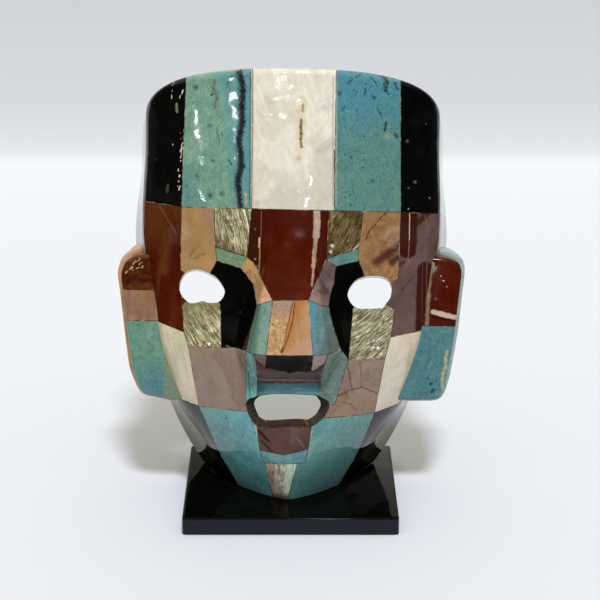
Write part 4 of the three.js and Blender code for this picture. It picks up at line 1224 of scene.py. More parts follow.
def rear_stone(name, corners, materials):
    """A stone of the rear course."""
    bm, edge = sawn(corners, rear=True)
    bend(bm, thickened(bm, edge), rear=True)
    cut_off(bm, (0, -(COURSE - GAP), 0), FORWARDS, GLUE_SLOT)
    cut_off(bm, (0, 0, 0), BACKWARDS)
    cut_off(bm, SEAT_POINT, SEAT_DOWN)
    return finished(name, bm, materials)


print("edges sharper than", round(math.degrees(SHARP)), "degrees stay sharp")

# %% [markdown]
# ## Effects that the stones share
# Every stone is a base colour with something in it: clouds, streaks, veins, flecks, a wash towards one
# side, or a single mark in one place. Each of these is a shader node group, built once. A group only
# hands back a mask or a height; the colours and the shader stay in the stone's own material.

# %% Helpers for the groups
def noise(tree, vector, scale, detail, **more):
    """A noise texture's value; more names its other sockets."""
    inputs = {"Vector": vector, "Scale": scale, "Detail": detail, **more}
    return put(tree, "ShaderNodeTexNoise", inputs).outputs["Fac"]


def per(tree, size):
    """The scale that makes a pattern of a given size."""
    return maths(tree, "DIVIDE", 1, size)


def swing(tree, value):
    """A noise value round nought instead of round a half."""
    return maths(tree, "SUBTRACT", value, 0.5)


def shaken(tree, vector, amount, scale, **more):
    """A small random push in every direction, to make an edge ragged."""
    colour = put(tree, "ShaderNodeTexNoise", {"Vector": vector, "Scale": scale, **more}).outputs["Color"]
    push = vectors(tree, "SCALE", vectors(tree, "SUBTRACT", colour, (0.5, 0.5, 0.5)))
    tree.links.new(amount, push.node.inputs["Scale"])
    return push


def soft_step(tree, low, high, value):
    """Rises smoothly from 0 at low to 1 at high."""
    inputs = {"Value": value, "From Min": low, "From Max": high}
    return put(tree, "ShaderNodeMapRange", inputs, interpolation_type="SMOOTHSTEP").outputs[0]


print("group helpers ready")

# %% [markdown]
# ## Clouds, streaks and veins
# All three start from one noise. Clouds are the noise with its contrast raised. Streaks are the noise
# squeezed across one direction, so that its blots turn into lines. A vein is the place where the noise
# passes its middle value, which is always a thin closed line, and a second noise decides where it shows.

# %% Group: clouds
CLOUDS, given, made = new_group("stone clouds", "Mask", Size=8.0, Warp=0.5, Contrast=1.5)
fineness = per(CLOUDS, given["Size"])
value = noise(CLOUDS, given["Vector"], fineness, 5, Roughness=0.62, Distortion=given["Warp"])
spread = maths(CLOUDS, "MULTIPLY_ADD", swing(CLOUDS, value), given["Contrast"], 0.5, clamp=True)
CLOUDS.links.new(spread, made)
print("group:", CLOUDS.name)

# %% Group: streaks
STREAKS, given, made = new_group(
    "stone streaks", "Mask", Angle=90.0, Length=20.0, Width=1.0, Warp=0.3, Low=0.4, High=0.6
)
angle = put(STREAKS, "ShaderNodeCombineXYZ", {1: maths(STREAKS, "RADIANS", given["Angle"])}).outputs[0]
turned = put(STREAKS, "ShaderNodeMapping", {0: given["Vector"], 2: angle}, vector_type="POINT").outputs[0]
sides = {0: given["Length"], 1: given["Length"], 2: given["Width"]}
squeezed = vectors(STREAKS, "DIVIDE", turned, put(STREAKS, "ShaderNodeCombineXYZ", sides).outputs[0])
value = noise(STREAKS, squeezed, 1, 3, Roughness=0.6, Distortion=given["Warp"])
STREAKS.links.new(soft_step(STREAKS, given["Low"], given["High"], value), made)
print("group:", STREAKS.name)

# %% Group: veins
WIDER = 0.7  # share of the vein's fineness, for the noise that decides where it shows
FADE = 0.06

VEINS, given, made = new_group("stone veins", "Mask", Size=15.0, Width=0.02, Warp=1.0, Present=0.5)
scale = per(VEINS, given["Size"])
value = noise(VEINS, given["Vector"], scale, 4, Roughness=0.55, Distortion=given["Warp"])
line = soft_step(VEINS, given["Width"], 0, maths(VEINS, "ABSOLUTE", swing(VEINS, value)))
chance = noise(VEINS, given["Vector"], maths(VEINS, "MULTIPLY", scale, WIDER), 1)
shown = soft_step(VEINS, maths(VEINS, "SUBTRACT", given["Present"], FADE), given["Present"], chance)
VEINS.links.new(maths(VEINS, "MULTIPLY", line, shown), made)
print("group:", VEINS.name)

# %% [markdown]
# ## Flecks
# Flecks are small grains of another mineral. A Voronoi texture splits space into cells with one dot each.
# The cell's own random colour decides whether its dot is there and how big it is, and a little noise
# makes it ragged.

# %% Group: flecks
SMALLEST, SPREAD = 0.35, 0.8  # the smallest dot's share of the radius, and what chance adds to it
DOT_CORE = 0.45  # inside this share of its radius a dot has its full strength

FLECKS, given, made = new_group("stone flecks", "Mask", Spacing=3.0, Radius=0.4, Share=0.4, Ragged=0.5)
tremble = shaken(FLECKS, given["Vector"], given["Ragged"], 1.3, Detail=3)
place = vectors(FLECKS, "ADD", given["Vector"], tremble)
inputs = {"Vector": place, "Scale": per(FLECKS, given["Spacing"]), "Randomness": 1}
cells = put(FLECKS, "ShaderNodeTexVoronoi", inputs).outputs
chance = put(FLECKS, "ShaderNodeSeparateColor", {0: cells["Color"]}).outputs
share = maths(FLECKS, "MULTIPLY_ADD", chance["Green"], SPREAD, SMALLEST)
radius = maths(FLECKS, "DIVIDE", maths(FLECKS, "MULTIPLY", given["Radius"], share), given["Spacing"])
dot = soft_step(FLECKS, radius, maths(FLECKS, "MULTIPLY", radius, DOT_CORE), cells["Distance"])
there = maths(FLECKS, "LESS_THAN", chance["Red"], given["Share"])
FLECKS.links.new(maths(FLECKS, "MULTIPLY", dot, there), made)
print("group:", FLECKS.name)

# %% [markdown]
# ## Washes and marks
# A slab often changes colour towards one side: a wash goes from nothing at its start to full strength at
# its end, along the straight way between them. A mark is a rounded line between two places: each point
# finds its nearest place on that line, and the mask falls with the distance from it.

# %% Group: wash
WASH, given, made = new_group("stone wash", "Mask", Start=None, End=None, Ragged=0.3, Size=5.0)
way = vectors(WASH, "SUBTRACT", given["End"], given["Start"])
gone = vectors(WASH, "DOT_PRODUCT", vectors(WASH, "SUBTRACT", given["Vector"], given["Start"]), way)
share = maths(WASH, "DIVIDE", gone, vectors(WASH, "DOT_PRODUCT", way, way))
value = noise(WASH, given["Vector"], per(WASH, given["Size"]), 4, Distortion=0.6)
share = maths(WASH, "ADD", share, maths(WASH, "MULTIPLY", swing(WASH, value), given["Ragged"]))
WASH.links.new(soft_step(WASH, 0, 1, share), made)
print("group:", WASH.name)

# %% Group: mark
NO_LENGTH = 1e-4  # added to the length, so that a mark may start and end in one place

MARK, given, made = new_group(
    "stone mark", "Mask", Start=None, End=None, Width=0.6, Soft=0.5, Waver=0.5, Size=2.0
)
waver = maths(MARK, "MULTIPLY", given["Waver"], 2)
shake = shaken(MARK, given["Vector"], waver, per(MARK, given["Size"]), Detail=5, Roughness=0.75)
flat = vectors(MARK, "MULTIPLY", vectors(MARK, "ADD", given["Vector"], shake), (1, 0, 1))
way = vectors(MARK, "SUBTRACT", given["End"], given["Start"])
gone = vectors(MARK, "SUBTRACT", flat, given["Start"])
length2 = maths(MARK, "ADD", vectors(MARK, "DOT_PRODUCT", way, way), NO_LENGTH)
share = maths(MARK, "DIVIDE", vectors(MARK, "DOT_PRODUCT", gone, way), length2, clamp=True)
nearest_place = vectors(MARK, "SCALE", way)
MARK.links.new(share, nearest_place.node.inputs["Scale"])
away = vectors(MARK, "LENGTH", vectors(MARK, "SUBTRACT", gone, nearest_place))
core = maths(MARK, "MULTIPLY", given["Width"], maths(MARK, "SUBTRACT", 1, given["Soft"]))
MARK.links.new(soft_step(MARK, given["Width"], core, away), made)
print("group:", MARK.name)

# %% [markdown]
# ## Grain
# Up close no stone is even: it's made of crystals and dust of slightly different lightness. The group
# gives a factor round 1 that a material multiplies its colour by.

# %% Group: grain
GRAIN, given, made = new_group("stone grain", "Factor", Size=1.2, Strength=0.3)
value = noise(GRAIN, given["Vector"], per(GRAIN, given["Size"]), 4, Roughness=0.7)
lightness = maths(GRAIN, "MULTIPLY", swing(GRAIN, value), given["Strength"])
GRAIN.links.new(maths(GRAIN, "MULTIPLY_ADD", lightness, 4, 1), made)
print("group:", GRAIN.name)

# %% [markdown]
# ## The lacquer
# A thick clear coat lies over the polished stones. It isn't flat: it dips and swells over a centimetre or
# so, has a fine orange peel, and a few drops and pits. On dark stones that is all one sees of it, as
# broken white glints. The group gives a height in millimetres, which a Bump node turns into a shading
# normal.

# %% Group: lacquer
SWELL_SCALE, PEEL_SCALE, DROP_SCALE = 0.09, 0.55, 0.16  # for each millimetre
DROP_SHARE = 0.35  # of the cells have a drop
DROP_RADIUS = 0.3

LACQUER, given, made = new_group("lacquer", "Height", Waves=0.1, Peel=0.006, Drops=0.1)
swell = noise(LACQUER, given["Vector"], SWELL_SCALE, 1)
peel = noise(LACQUER, given["Vector"], PEEL_SCALE, 2)
inputs = {"Vector": given["Vector"], "Scale": DROP_SCALE, "Randomness": 1}
cells = put(LACQUER, "ShaderNodeTexVoronoi", inputs).outputs
chance = put(LACQUER, "ShaderNodeSeparateColor", {0: cells["Color"]}).outputs["Red"]
drop = soft_step(LACQUER, DROP_RADIUS, 0.0, cells["Distance"])
drop = maths(LACQUER, "MULTIPLY", drop, maths(LACQUER, "LESS_THAN", chance, DROP_SHARE))
height = maths(LACQUER, "MULTIPLY", swell, given["Waves"])
height = maths(LACQUER, "MULTIPLY_ADD", peel, given["Peel"], height)
height = maths(LACQUER, "MULTIPLY_ADD", drop, given["Drops"], height)
LACQUER.links.new(height, made)
print("group:", LACQUER.name)

# %% [markdown]
# ## Mixing a stone
# A stone's recipe is a short list: the tones of its clouds, then layers laid over one another, each with its
# mask, its colour and its strength. One function reads a recipe and wires the material, so that each stone
# can have its own look in a few lines. A factor for each stone then scales its whole colour, and only the
# marks keep their own colour. It is partly the stone's own tint and partly painted light and shade, making a
# stone brighter or darker where the lamps light it too little or too much.

# %% Recipe reader
LAYERS = {
    "clouds": (CLOUDS, ("Size", "Warp", "Contrast")),
    "streaks": (STREAKS, ("Angle", "Length", "Width", "Warp", "Low", "High")),
    "veins": (VEINS, ("Size", "Width", "Warp", "Present")),
    "flecks": (FLECKS, ("Spacing", "Radius", "Share", "Ragged")),
    "wash": (WASH, ("Start", "End", "Ragged", "Size")),
    "mark": (MARK, ("Start", "End", "Width", "Soft", "Waver", "Size")),
}
PLACED = ("wash", "mark")  # these lie at a place on the face, so the shift of the pattern leaves them alone


def layer_mask(tree, place, kind, values):
    """One layer's mask. A place on the face is given across and up, and its depth doesn't matter."""
    group, sockets = LAYERS[kind]
    filled = [(value[0], 0, value[1]) if isinstance(value, tuple) else value for value in values]
    return use(tree, group, Vector=place, **dict(zip(sockets, filled)))


print("recipe reader: layers", *LAYERS)

# %% Stone material
def stone_material(name, recipe):
    """A material from a recipe: tones, clouds, layers, and how the lacquer lies."""
    material = bpy.data.materials.new(name)
    material.use_nodes = True
    tree = material.node_tree
    shader = tree.nodes["Principled BSDF"]
    place = mask_place(tree)
    shifted = vectors(tree, "ADD", place, recipe.get("shift", (0, 0, 0)))
    cloud = layer_mask(tree, shifted, "clouds", recipe["clouds"])
    tones = recipe["tones"]
    # Partly the stone's own tint and partly painted light and shade: it scales the whole colour
    cast = (*recipe.get("cast", (1, 1, 1)), 1)

    def tinted_and_lit(tone):
        return tuple(share * part for share, part in zip(paint(*tone), cast))

    colour = ramp(tree, cloud, *[(i / (len(tones) - 1), tinted_and_lit(tone)) for i, tone in enumerate(tones)])
    for kind, values, tint, strength in recipe["layers"]:
        where = place if kind in PLACED else shifted
        mask = maths(tree, "MULTIPLY", layer_mask(tree, where, kind, values), strength)
        colour = mixed(tree, mask, colour, paint(*tint) if kind == "mark" else tinted_and_lit(tint))
    grain_size, grain_strength = recipe.get("grain", (1.3, 0.12))
    grain = use(tree, GRAIN, Vector=shifted, Size=grain_size, Strength=grain_strength)
    colour = put(tree, "ShaderNodeHueSaturation", {"Value": grain, "Color": colour}).outputs["Color"]
    tree.links.new(colour, shader.inputs["Base Color"])
    shader.inputs["Specular IOR Level"].default_value = recipe.get("specular", 0.5)
    smoothest, roughest = recipe.get("rough", (0.03, 0.09))
    inputs = {"Value": cloud, "To Min": smoothest, "To Max": roughest}
    tree.links.new(put(tree, "ShaderNodeMapRange", inputs).outputs[0], shader.inputs["Roughness"])
    waves, peel, drops = recipe.get("lacquer", (0.25, 0.008, 0.05))
    height = use(tree, LACQUER, Vector=shifted, Waves=waves, Peel=peel, Drops=drops)
    bump = put(tree, "ShaderNodeBump", {"Height": height, "Distance": MM, "Strength": 1}).outputs[0]
    tree.links.new(bump, shader.inputs["Normal"])
    return material


print("a stone is:", "tones, clouds, layers, grain and lacquer")

# %% [markdown]
# ## How a stone is written down
# A recipe is the short list that the mixing function reads: the tones that a slab drifts through, from
# dark to light, and the size, warp and contrast of that drift. Then come the layers, each with its kind,
# its numbers, its colour as the eye sees it, and its strength. Streaks and flecks are chance, but the
# slabs also have features of their own, such as a dark vein. Those are marks, in millimetres across and
# up the face.

# %% Words for recipes
RECIPES = {}
SPOT_SPREAD = 1.25  # a spot's soft edge reaches this many times its radius
SPOT_WAVES = 1.2  # size of the waves of its edge, for each millimetre of radius
FINEST_WAVES = 0.8


def slab(tones, clouds, *layers, **more):
    return {"tones": tones, "clouds": clouds, "layers": layers, **more}


def mark(start, end, width, tint, strength=0.9, soft=0.5, waver=0.6, size=2):
    """A line from a start to an end: half its width, how soft its edge is, and how it wavers."""
    return ("mark", (start, end, width, soft, waver, size), tint, strength)


def spot(place, radius, tint, strength=0.8, soft=0.9, waver=1.2):
    """A blot. Its edge wavers at about its own size."""
    waves = max(radius * SPOT_WAVES, FINEST_WAVES)
    return mark(place, place, radius * SPOT_SPREAD, tint, strength, soft, waver, waves)


def trail(points, width, tint, strength=0.9, soft=0.4, waver=0.5, size=2):
    """A line of marks through several places."""
    return [mark(a, b, width, tint, strength, soft, waver, size) for a, b in zip(points, points[1:])]


print("layers: clouds, streaks, veins, flecks, wash, mark")

# %% [markdown]
# ## Black stones
# The black slabs are close to glass: hardly any pattern, a few grey flecks, and a clear reflection. A black
# stone can be one shared recipe with a few marks of its own. The slab at the left of the forehead has a row
# of cream marks and pale spots along its seam, short wavering marks that are partly chips and partly painted
# glints.

# %% Black recipes
BLACK_TONES = ((2, 2, 2), (4, 4, 3), (7, 7, 6), (14, 14, 12))
CREAM_CHIPS_AND_GLINTS = (232, 222, 190)
GOLD = (206, 176, 112)


def black_stone(*layers, tones=BLACK_TONES, **more):
    grey_flecks = ("flecks", (2.6, 0.16, 0.16, 0.3), (80, 80, 74), 0.5)
    return slab(tones, (9, 0.6, 1.6), grey_flecks, *layers, **more)


RECIPES["forehead_black_left"] = black_stone(
    # Cream marks and pale spots along the seam, here and below: partly chips, partly painted glints
    *[
        mark(start, end, width, CREAM_CHIPS_AND_GLINTS, 0.9, 0.6, 0.9, 0.8)
        for start, end, width in (
            ((-46, 178.2), (-46.3, 176.6), 0.2), ((-46.7, 175.8), (-47, 174.7), 0.26),
            ((-48.3, 174.2), (-48.8, 172.4), 0.26), ((-49.5, 171.7), (-49.8, 170.6), 0.2),
            ((-46.7, 171), (-46.8, 170.3), 0.16), ((-46.7, 165.1), (-46.8, 164.4), 0.2),
            ((-47, 161.6), (-47.3, 160.7), 0.16), ((-47.3, 157.7), (-47.6, 155.5), 0.22),
            ((-47.8, 154.2), (-47.8, 153.7), 0.18), ((-48.3, 151.1), (-48.5, 149.5), 0.3),
            ((-48.6, 148.9), (-48.9, 147.3), 0.34), ((-48.6, 146.7), (-49, 144.5), 0.28),
            ((-49, 143.4), (-49, 142.9), 0.18), ((-50, 139.6), (-50.2, 138.7), 0.2),
            ((-49.4, 137), (-49.6, 136.1), 0.3), ((-49.8, 134.6), (-49.9, 133.9), 0.22),
            ((-49.2, 132.2), (-49.7, 130.4), 0.32), ((-53.3, 176.1), (-53.2, 175.7), 0.16),
            ((-53.1, 174), (-53.3, 173.5), 0.14), ((-53.4, 171.8), (-53.4, 170.2), 0.18),
            ((-51, 168.4), (-51.2, 167.5), 0.18), ((-48, 149.1), (-48.1, 148.5), 0.2),
            ((-49.2, 148), (-49.3, 147.1), 0.18), ((-50.3, 132.1), (-50.4, 131.7), 0.16),
        )
    ],
    mark((-51.2, 167.7), (-50.8, 164.7), 0.8, (118, 120, 86), 0.85, 0.7, 0.8, 1.2),
    spot((-52.4, 177), 0.45, (190, 190, 180), 0.7), spot((-47.1, 160.3), 0.35, GOLD),
    spot((-47.1, 157.2), 0.3, GOLD), spot((-47.6, 151.7), 0.35, (225, 225, 215)),
    spot((-49.2, 155.6), 0.5, (132, 60, 44), 0.7), spot((-49, 152.8), 0.5, (120, 84, 60), 0.7),
    spot((-52.7, 150.3), 0.4, (230, 230, 225)),
    mark((-54.7, 132.2), (-55.1, 129.1), 0.9, (66, 70, 54), 0.8, 0.8, 1, 1.2),
    spot((-60.6, 143), 0.7, (52, 44, 52), 0.7),
    ("flecks", (3.2, 0.3, 0.2, 0.8), (70, 64, 56), 0.6),
)
RECIPES["forehead_black_right"] = black_stone(
    spot((50.2, 153.2), 0.8, (92, 88, 80), 0.8), spot((54.1, 135.1), 0.85, (96, 90, 82), 0.8),
    spot((61.2, 127.6), 0.4, (150, 146, 140)), spot((58.7, 160.4), 0.35, (130, 128, 120)),
    spot((51.4, 132.6), 0.3, (150, 146, 140)), spot((51.4, 123.3), 0.45, (170, 160, 140)),
    shift=(31, 5, 12),
    specular=0.15,
)
RECIPES["eye_black_left"] = black_stone(shift=(7, 50, 3), specular=0.1)
RECIPES["eye_black_right"] = black_stone(shift=(70, 5, 33), specular=0.1)
# Black lifted towards grey: a painted sheen on the slab under the nose
NOSE_BLACKS_WITH_SHEEN = ((20, 20, 22), (34, 33, 34), (50, 49, 52))
RECIPES["nose_under_centre"] = black_stone(tones=NOSE_BLACKS_WITH_SHEEN, shift=(17, 5, 93))
RECIPES["jaw_black_left"] = black_stone(shift=(37, 15, 63), lacquer=(0.12, 0.004, 0))
RECIPES["jaw_black_right"] = black_stone(shift=(57, 25, 43), lacquer=(0.12, 0.004, 0))
print(len(RECIPES), "black slabs")

# %% [markdown]
# ## The teal slabs of the forehead
# These two have the richest pattern on the mask: clouds within clouds, a bluer side, dark specks, and on
# the left one a nearly black vein from top to bottom. The vein is two trails over each other, a wide soft
# one for its bluish border and a narrow dark one for its core.

# %% Forehead, teal with the vein
TEAL_DARK = (48, 74, 66)
DARK_BROWN = (44, 26, 16)
RECIPES["forehead_teal_left"] = slab(
    ((80, 126, 114), (98, 138, 120), (112, 148, 124), (134, 162, 134)),
    (7, 1.4, 2.6),
    ("clouds", (2.2, 1.2, 3.4), (126, 158, 132), 0.42),
    ("clouds", (1.3, 1.6, 4), (78, 116, 108), 0.34),
    ("wash", ((-34.2, 153.1), (-22.9, 155.2), 0.9, 5), (72, 132, 140), 0.62),
    ("wash", ((-43.9, 143.9), (-48.4, 141.4), 0.8, 4), (80, 122, 122), 0.5),
    ("streaks", (68, 7, 0.6, 0.9, 0.57, 0.72), (66, 104, 94), 0.5),
    ("streaks", (-50, 5, 0.5, 0.9, 0.6, 0.74), (142, 172, 150), 0.4),
    ("flecks", (4.2, 0.75, 0.35, 1.6), (52, 86, 78), 0.6),
    ("flecks", (2, 0.4, 0.26, 0.9), (46, 76, 70), 0.6),
    spot((-42.5, 175.5), 1.7, TEAL_DARK), spot((-43.6, 169), 0.9, TEAL_DARK, 0.6),
    spot((-35.3, 172.7), 0.8, DARK_BROWN),
    *trail(
        [(-34.5, 179), (-34.7, 175.5), (-33.3, 172.1), (-33.9, 166.9)],
        1.1, (100, 98, 74), 0.7, 0.9, 1.6, 1.6,
    ),
    spot((-33.9, 177.7), 0.8, (92, 62, 44), 0.7), spot((-32.7, 171.1), 0.7, (84, 58, 44), 0.7),
    spot((-33.9, 167.4), 0.6, (84, 58, 44), 0.7), spot((-41.8, 154.7), 0.9, TEAL_DARK, 0.6),
    spot((-36.1, 159.3), 1.3, (62, 102, 96), 0.7),
    mark((-33.2, 158.3), (-31.8, 152.3), 0.9, (80, 100, 92), 0.6, 0.9, 1.4),
    mark((-30.8, 156.7), (-30.5, 153.9), 0.4, TEAL_DARK, 0.7),
    spot((-34.8, 144.2), 1, TEAL_DARK),
    mark((-27.7, 144.7), (-26.4, 142.8), 0.5, TEAL_DARK, 0.85),
    spot((-41.6, 137.1), 1.2, (56, 80, 70)), spot((-35.7, 128.9), 1.4, (44, 70, 58)),
    spot((-30.5, 129.9), 1.5, (58, 88, 70)), spot((-46.3, 132.4), 0.8, (50, 88, 104)),
    spot((-45.3, 127.6), 1.4, (76, 112, 126), 0.7), spot((-27.2, 178.2), 0.6, TEAL_DARK),
    mark((-28.8, 177.4), (-24.1, 182.9), 1.6, (56, 84, 82), 0.55, 0.95, 1.6, 1.6),
    *trail(
        [
            (-24.3, 183.6), (-22.7, 179.3), (-22, 174.6), (-22.4, 168.1), (-22.1, 161.7), (-22.8, 157.2),
            (-23.4, 152.6), (-22.7, 148.3), (-22.3, 142.3), (-23.5, 137), (-23.5, 132.7), (-22.4, 124.9),
        ],
        2.9, (60, 84, 92), 0.6, 0.95, 2.2, 1.6,
    ),
    *trail(
        [
            (-23.8, 183.6), (-22.4, 179.3), (-21.7, 174.6), (-22.3, 168.1), (-21.9, 161.7), (-22.6, 157.2),
            (-23.3, 152.6), (-22.5, 148.3), (-22.1, 142.3), (-23.4, 137), (-23.3, 132.7), (-22.3, 124.9),
        ],
        1.75, (34, 30, 38), 0.95, 0.7, 2.2, 1,
    ),
    ("wash", ((-20.5, 153.6), (-20, 153.6), 0.3, 3), (82, 132, 134), 0.6),
    ("streaks", (90, 10, 0.5, 0.6, 0.6, 0.72), (50, 74, 80), 0.35),
    mark((-18.8, 182.8), (-18.3, 125), 0.3, (48, 56, 56), 0.7, 0.6, 0.8, 2),
    mark((-20.1, 130.6), (-19.9, 125.9), 0.75, (186, 160, 116), 0.85, 0.7, 1.2, 1.2),
    mark((-17.9, 183.7), (-17.4, 125.1), 0.5, (206, 176, 146), 0.85, 0.4, 0.6, 2.4),
    # A pale line along the top edge: a painted highlight on the rounded crown
    mark((-43.9, 181.5), (-24.1, 183.9), 0.9, (178, 184, 132), 0.6, 0.8, 0.8),
    grain=(1.1, 0.26),
    cast=(1.22, 1.15, 1.1),
)
print("forehead_teal_left:", len(RECIPES["forehead_teal_left"]["layers"]), "layers")

# %% Forehead, bluer teal
RECIPES["forehead_blue_right"] = slab(
    ((70, 116, 116), (82, 124, 120), (92, 132, 120), (108, 142, 126)),
    (8, 1.2, 2.4),
    ("clouds", (2.4, 1.2, 3), (100, 140, 126), 0.4),
    ("clouds", (1.2, 1.6, 4), (66, 108, 108), 0.35),
    ("wash", ((30.2, 143.3), (31.4, 178.2), 0.7, 9), (68, 130, 148), 0.72),
    ("streaks", (58, 10, 1.2, 0.9, 0.54, 0.7), (66, 112, 118), 0.45),
    ("streaks", (-40, 7, 0.5, 0.9, 0.6, 0.74), (126, 160, 150), 0.35),
    ("flecks", (2.6, 0.7, 0.4, 1.2), (30, 52, 50), 0.75),
    ("flecks", (1.5, 0.42, 0.45, 0.7), (36, 60, 58), 0.75),
    ("flecks", (5.5, 1.3, 0.3, 2), (50, 80, 76), 0.5),
    *[
        mark(start, end, width, (32, 50, 50), 0.85, 0.8, 1.4, 1)
        for start, end, width in (
            ((39.3, 181.2), (41.1, 178.6), 0.7), ((41.1, 178.6), (39.8, 175.2), 0.9),
            ((39.8, 175.2), (41.6, 173.9), 0.6), ((29.6, 183), (27, 180.8), 0.35),
            ((33.1, 181.2), (36.2, 178.2), 0.35), ((37, 182.5), (39.3, 180.4), 0.5),
            ((44.2, 179), (45.6, 175.5), 0.55), ((31.4, 176.5), (30.6, 173.5), 0.4),
            ((25.2, 179.9), (23.5, 178.6), 0.45), ((34.1, 173.5), (35, 171.7), 0.45),
            ((36.4, 167.8), (38.7, 164.4), 0.4), ((22.4, 168.8), (21.1, 167), 0.4),
            ((40.5, 161.7), (40.1, 158.3), 0.9), ((44.2, 156.9), (45.6, 154.7), 0.6),
            ((27.5, 174.8), (26.7, 173.5), 0.4),
        )
    ],
    spot((19.7, 174.3), 1.6, (40, 66, 64)),
    *trail([(40.6, 180.4), (39.3, 177.8), (40.5, 175.2)], 0.8, (44, 66, 56), 0.85, 0.7, 1.4, 1.2),
    spot((35.4, 172.6), 0.9, (42, 72, 68)), spot((26.2, 175.6), 0.7, (42, 72, 74)),
    spot((31.4, 178.2), 0.6, (42, 72, 74)),
    mark((40.7, 161.3), (40.1, 158.7), 0.8, (48, 72, 64), 0.85, 0.7, 1, 1.2),
    spot((41.1, 155.6), 1.8, (148, 148, 92), 0.7), spot((45.5, 155.5), 0.8, (46, 70, 64)),
    spot((25.3, 146.8), 1, (46, 78, 78)), spot((35.2, 136.2), 1, (46, 74, 70)),
    spot((22, 163.2), 0.7, (46, 78, 78)),
    mark((18.5, 182), (19.1, 125.6), 0.5, (170, 174, 150), 0.5, 0.6, 0.8),
    shift=(40, 12, 7),
    grain=(1, 0.3),
    cast=(1.08, 1.04, 1),
)
print("forehead_blue_right:", len(RECIPES["forehead_blue_right"]["layers"]), "layers")

# %% [markdown]
# ## Plainer teal slabs
# The small teal slabs share one pattern and differ in how green or blue they are, so a function makes the
# recipe from a shift of the pattern and a share of blue. The slabs beside the mouth are also darker at its
# corners.

# %% Teal recipes
def teal_slab(shift, *layers, blue=0, tones=None, **more):
    """A plainer teal slab, greener or bluer, with dark specks."""
    tones = tones or (
        (64 - 6 * blue, 106, 98 + 24 * blue),
        (82 - 10 * blue, 122, 112 + 18 * blue),
        (96 - 10 * blue, 134, 122 + 14 * blue),
        (118 - 16 * blue, 150, 136 + 8 * blue),
    )
    lighter = tuple(value + 14 for value in tones[2])
    darker = tuple(value - 16 for value in tones[1])
    pattern = (
        ("clouds", (2.2, 1, 3), lighter, 0.4),
        ("clouds", (1.2, 1.4, 4), darker, 0.35),
        ("flecks", (3.4, 0.6, 0.35, 1.2), (42, 68, 66), 0.6),
        ("flecks", (1.6, 0.28, 0.35, 0.6), (44, 74, 72), 0.6),
    )
    return slab(tones, (6, 1.2, 2.4), *pattern, *layers, shift=shift, grain=(1, 0.28), **more)


RECIPES["brow_slip_teal_left"] = teal_slab(
    (3, 9, 70),
    ("streaks", (-22, 9, 0.6, 0.3, 0.5, 0.66), (70, 110, 88), 0.6),
    mark((-33.5, 106.1), (-20.2, 102.5), 0.35, (24, 34, 26), 0.9, 0.5, 0.2),
    tones=((86, 122, 92), (100, 134, 102), (112, 146, 110), (132, 160, 124)),
    cast=(1.14, 1.04, 1),
)
RECIPES["brow_slip_teal_right"] = teal_slab((23, 9, 50), blue=0.4, cast=(1.3, 1.1, 0.98))
RECIPES["nose_wing_left"] = teal_slab(
    (33, 19, 50),
    # Darker and greener towards the flank: partly the stone's colour, partly painted shade where the flank
    # turns away
    ("wash", ((-12.2, 72.3), (-14.8, 72.6), 0.2, 3), (74, 112, 90), 0.9),
    mark((-10.6, 82.4), (-11, 79.9), 0.6, (70, 90, 80), 0.5),
    tones=((100, 140, 126), (112, 152, 138), (122, 160, 146), (140, 172, 156)),
    cast=(0.86, 0.77, 0.75),
)
RECIPES["nose_wing_right"] = teal_slab(
    (13, 59, 20),
    ("wash", ((12, 72.6), (9.9, 72.6), 0.2, 3), (76, 142, 158), 0.8),
    ("wash", ((15.5, 72.6), (17.8, 71.4), 0.2, 3), (78, 100, 94), 0.8),
    blue=0.3,
    cast=(0.98, 0.82, 0.88),
)
print(len(RECIPES), "recipes so far")

# %% Teal slabs round the mouth
CORNER_LEFT = (
    mark((-16.1, 38.1), (-15.2, 31.4), 2.2, (50, 50, 38), 0.95, 0.6, 1.2, 2),
    mark((-14.1, 40.1), (-13.2, 37.4), 1.2, (74, 72, 62), 0.6, 0.8, 1, 2),
)
CORNER_RIGHT = (
    mark((15.2, 37.7), (12.8, 31.5), 2.2, (52, 62, 48), 0.95, 0.6, 1.2, 2),
    mark((15.2, 37.3), (14.1, 34.6), 0.8, (106, 78, 70), 0.7, 0.8, 1, 2),
)
RECIPES["mouth_strip_left"] = teal_slab(
    (43, 9, 20),
    mark((-15.5, 57.8), (-13.4, 48.9), 0.6, (150, 140, 110), 0.8, 0.4, 0.5),
    mark((-18.2, 51.5), (-17.2, 39.9), 0.35, (40, 40, 36), 0.6),
    *CORNER_LEFT,
    blue=0.5,
    cast=(1.46, 1.5, 1.5),
)
RECIPES["mouth_strip_right"] = teal_slab(
    (83, 9, 21),
    ("wash", ((17.8, 53), (14.1, 56.1), 0.4, 3), (120, 126, 112), 0.7),
    *CORNER_RIGHT,
    tones=((66, 86, 84), (84, 106, 102), (100, 122, 116), (120, 138, 130)),
    cast=(1.23, 1.13, 1.07),
)
RECIPES["upper_lip_blue"] = slab(
    ((58, 92, 106), (70, 108, 120), (84, 122, 132), (98, 134, 140)),
    (7, 0.8, 1.8),
    ("flecks", (2.2, 0.25, 0.3, 0.6), (42, 66, 72), 0.6),
    ("wash", ((-8.5, 44.5), (-12.9, 44.4), 0.3, 3), (48, 78, 88), 0.7),
    specular=0.25,
    rough=(0.15, 0.25),
    shift=(5, 5, 70),
    cast=(1, 1.1, 1),
)
RECIPES["lip_slip_teal"] = teal_slab((3, 79, 20), blue=0.6, cast=(1.12, 1.1, 1.09))
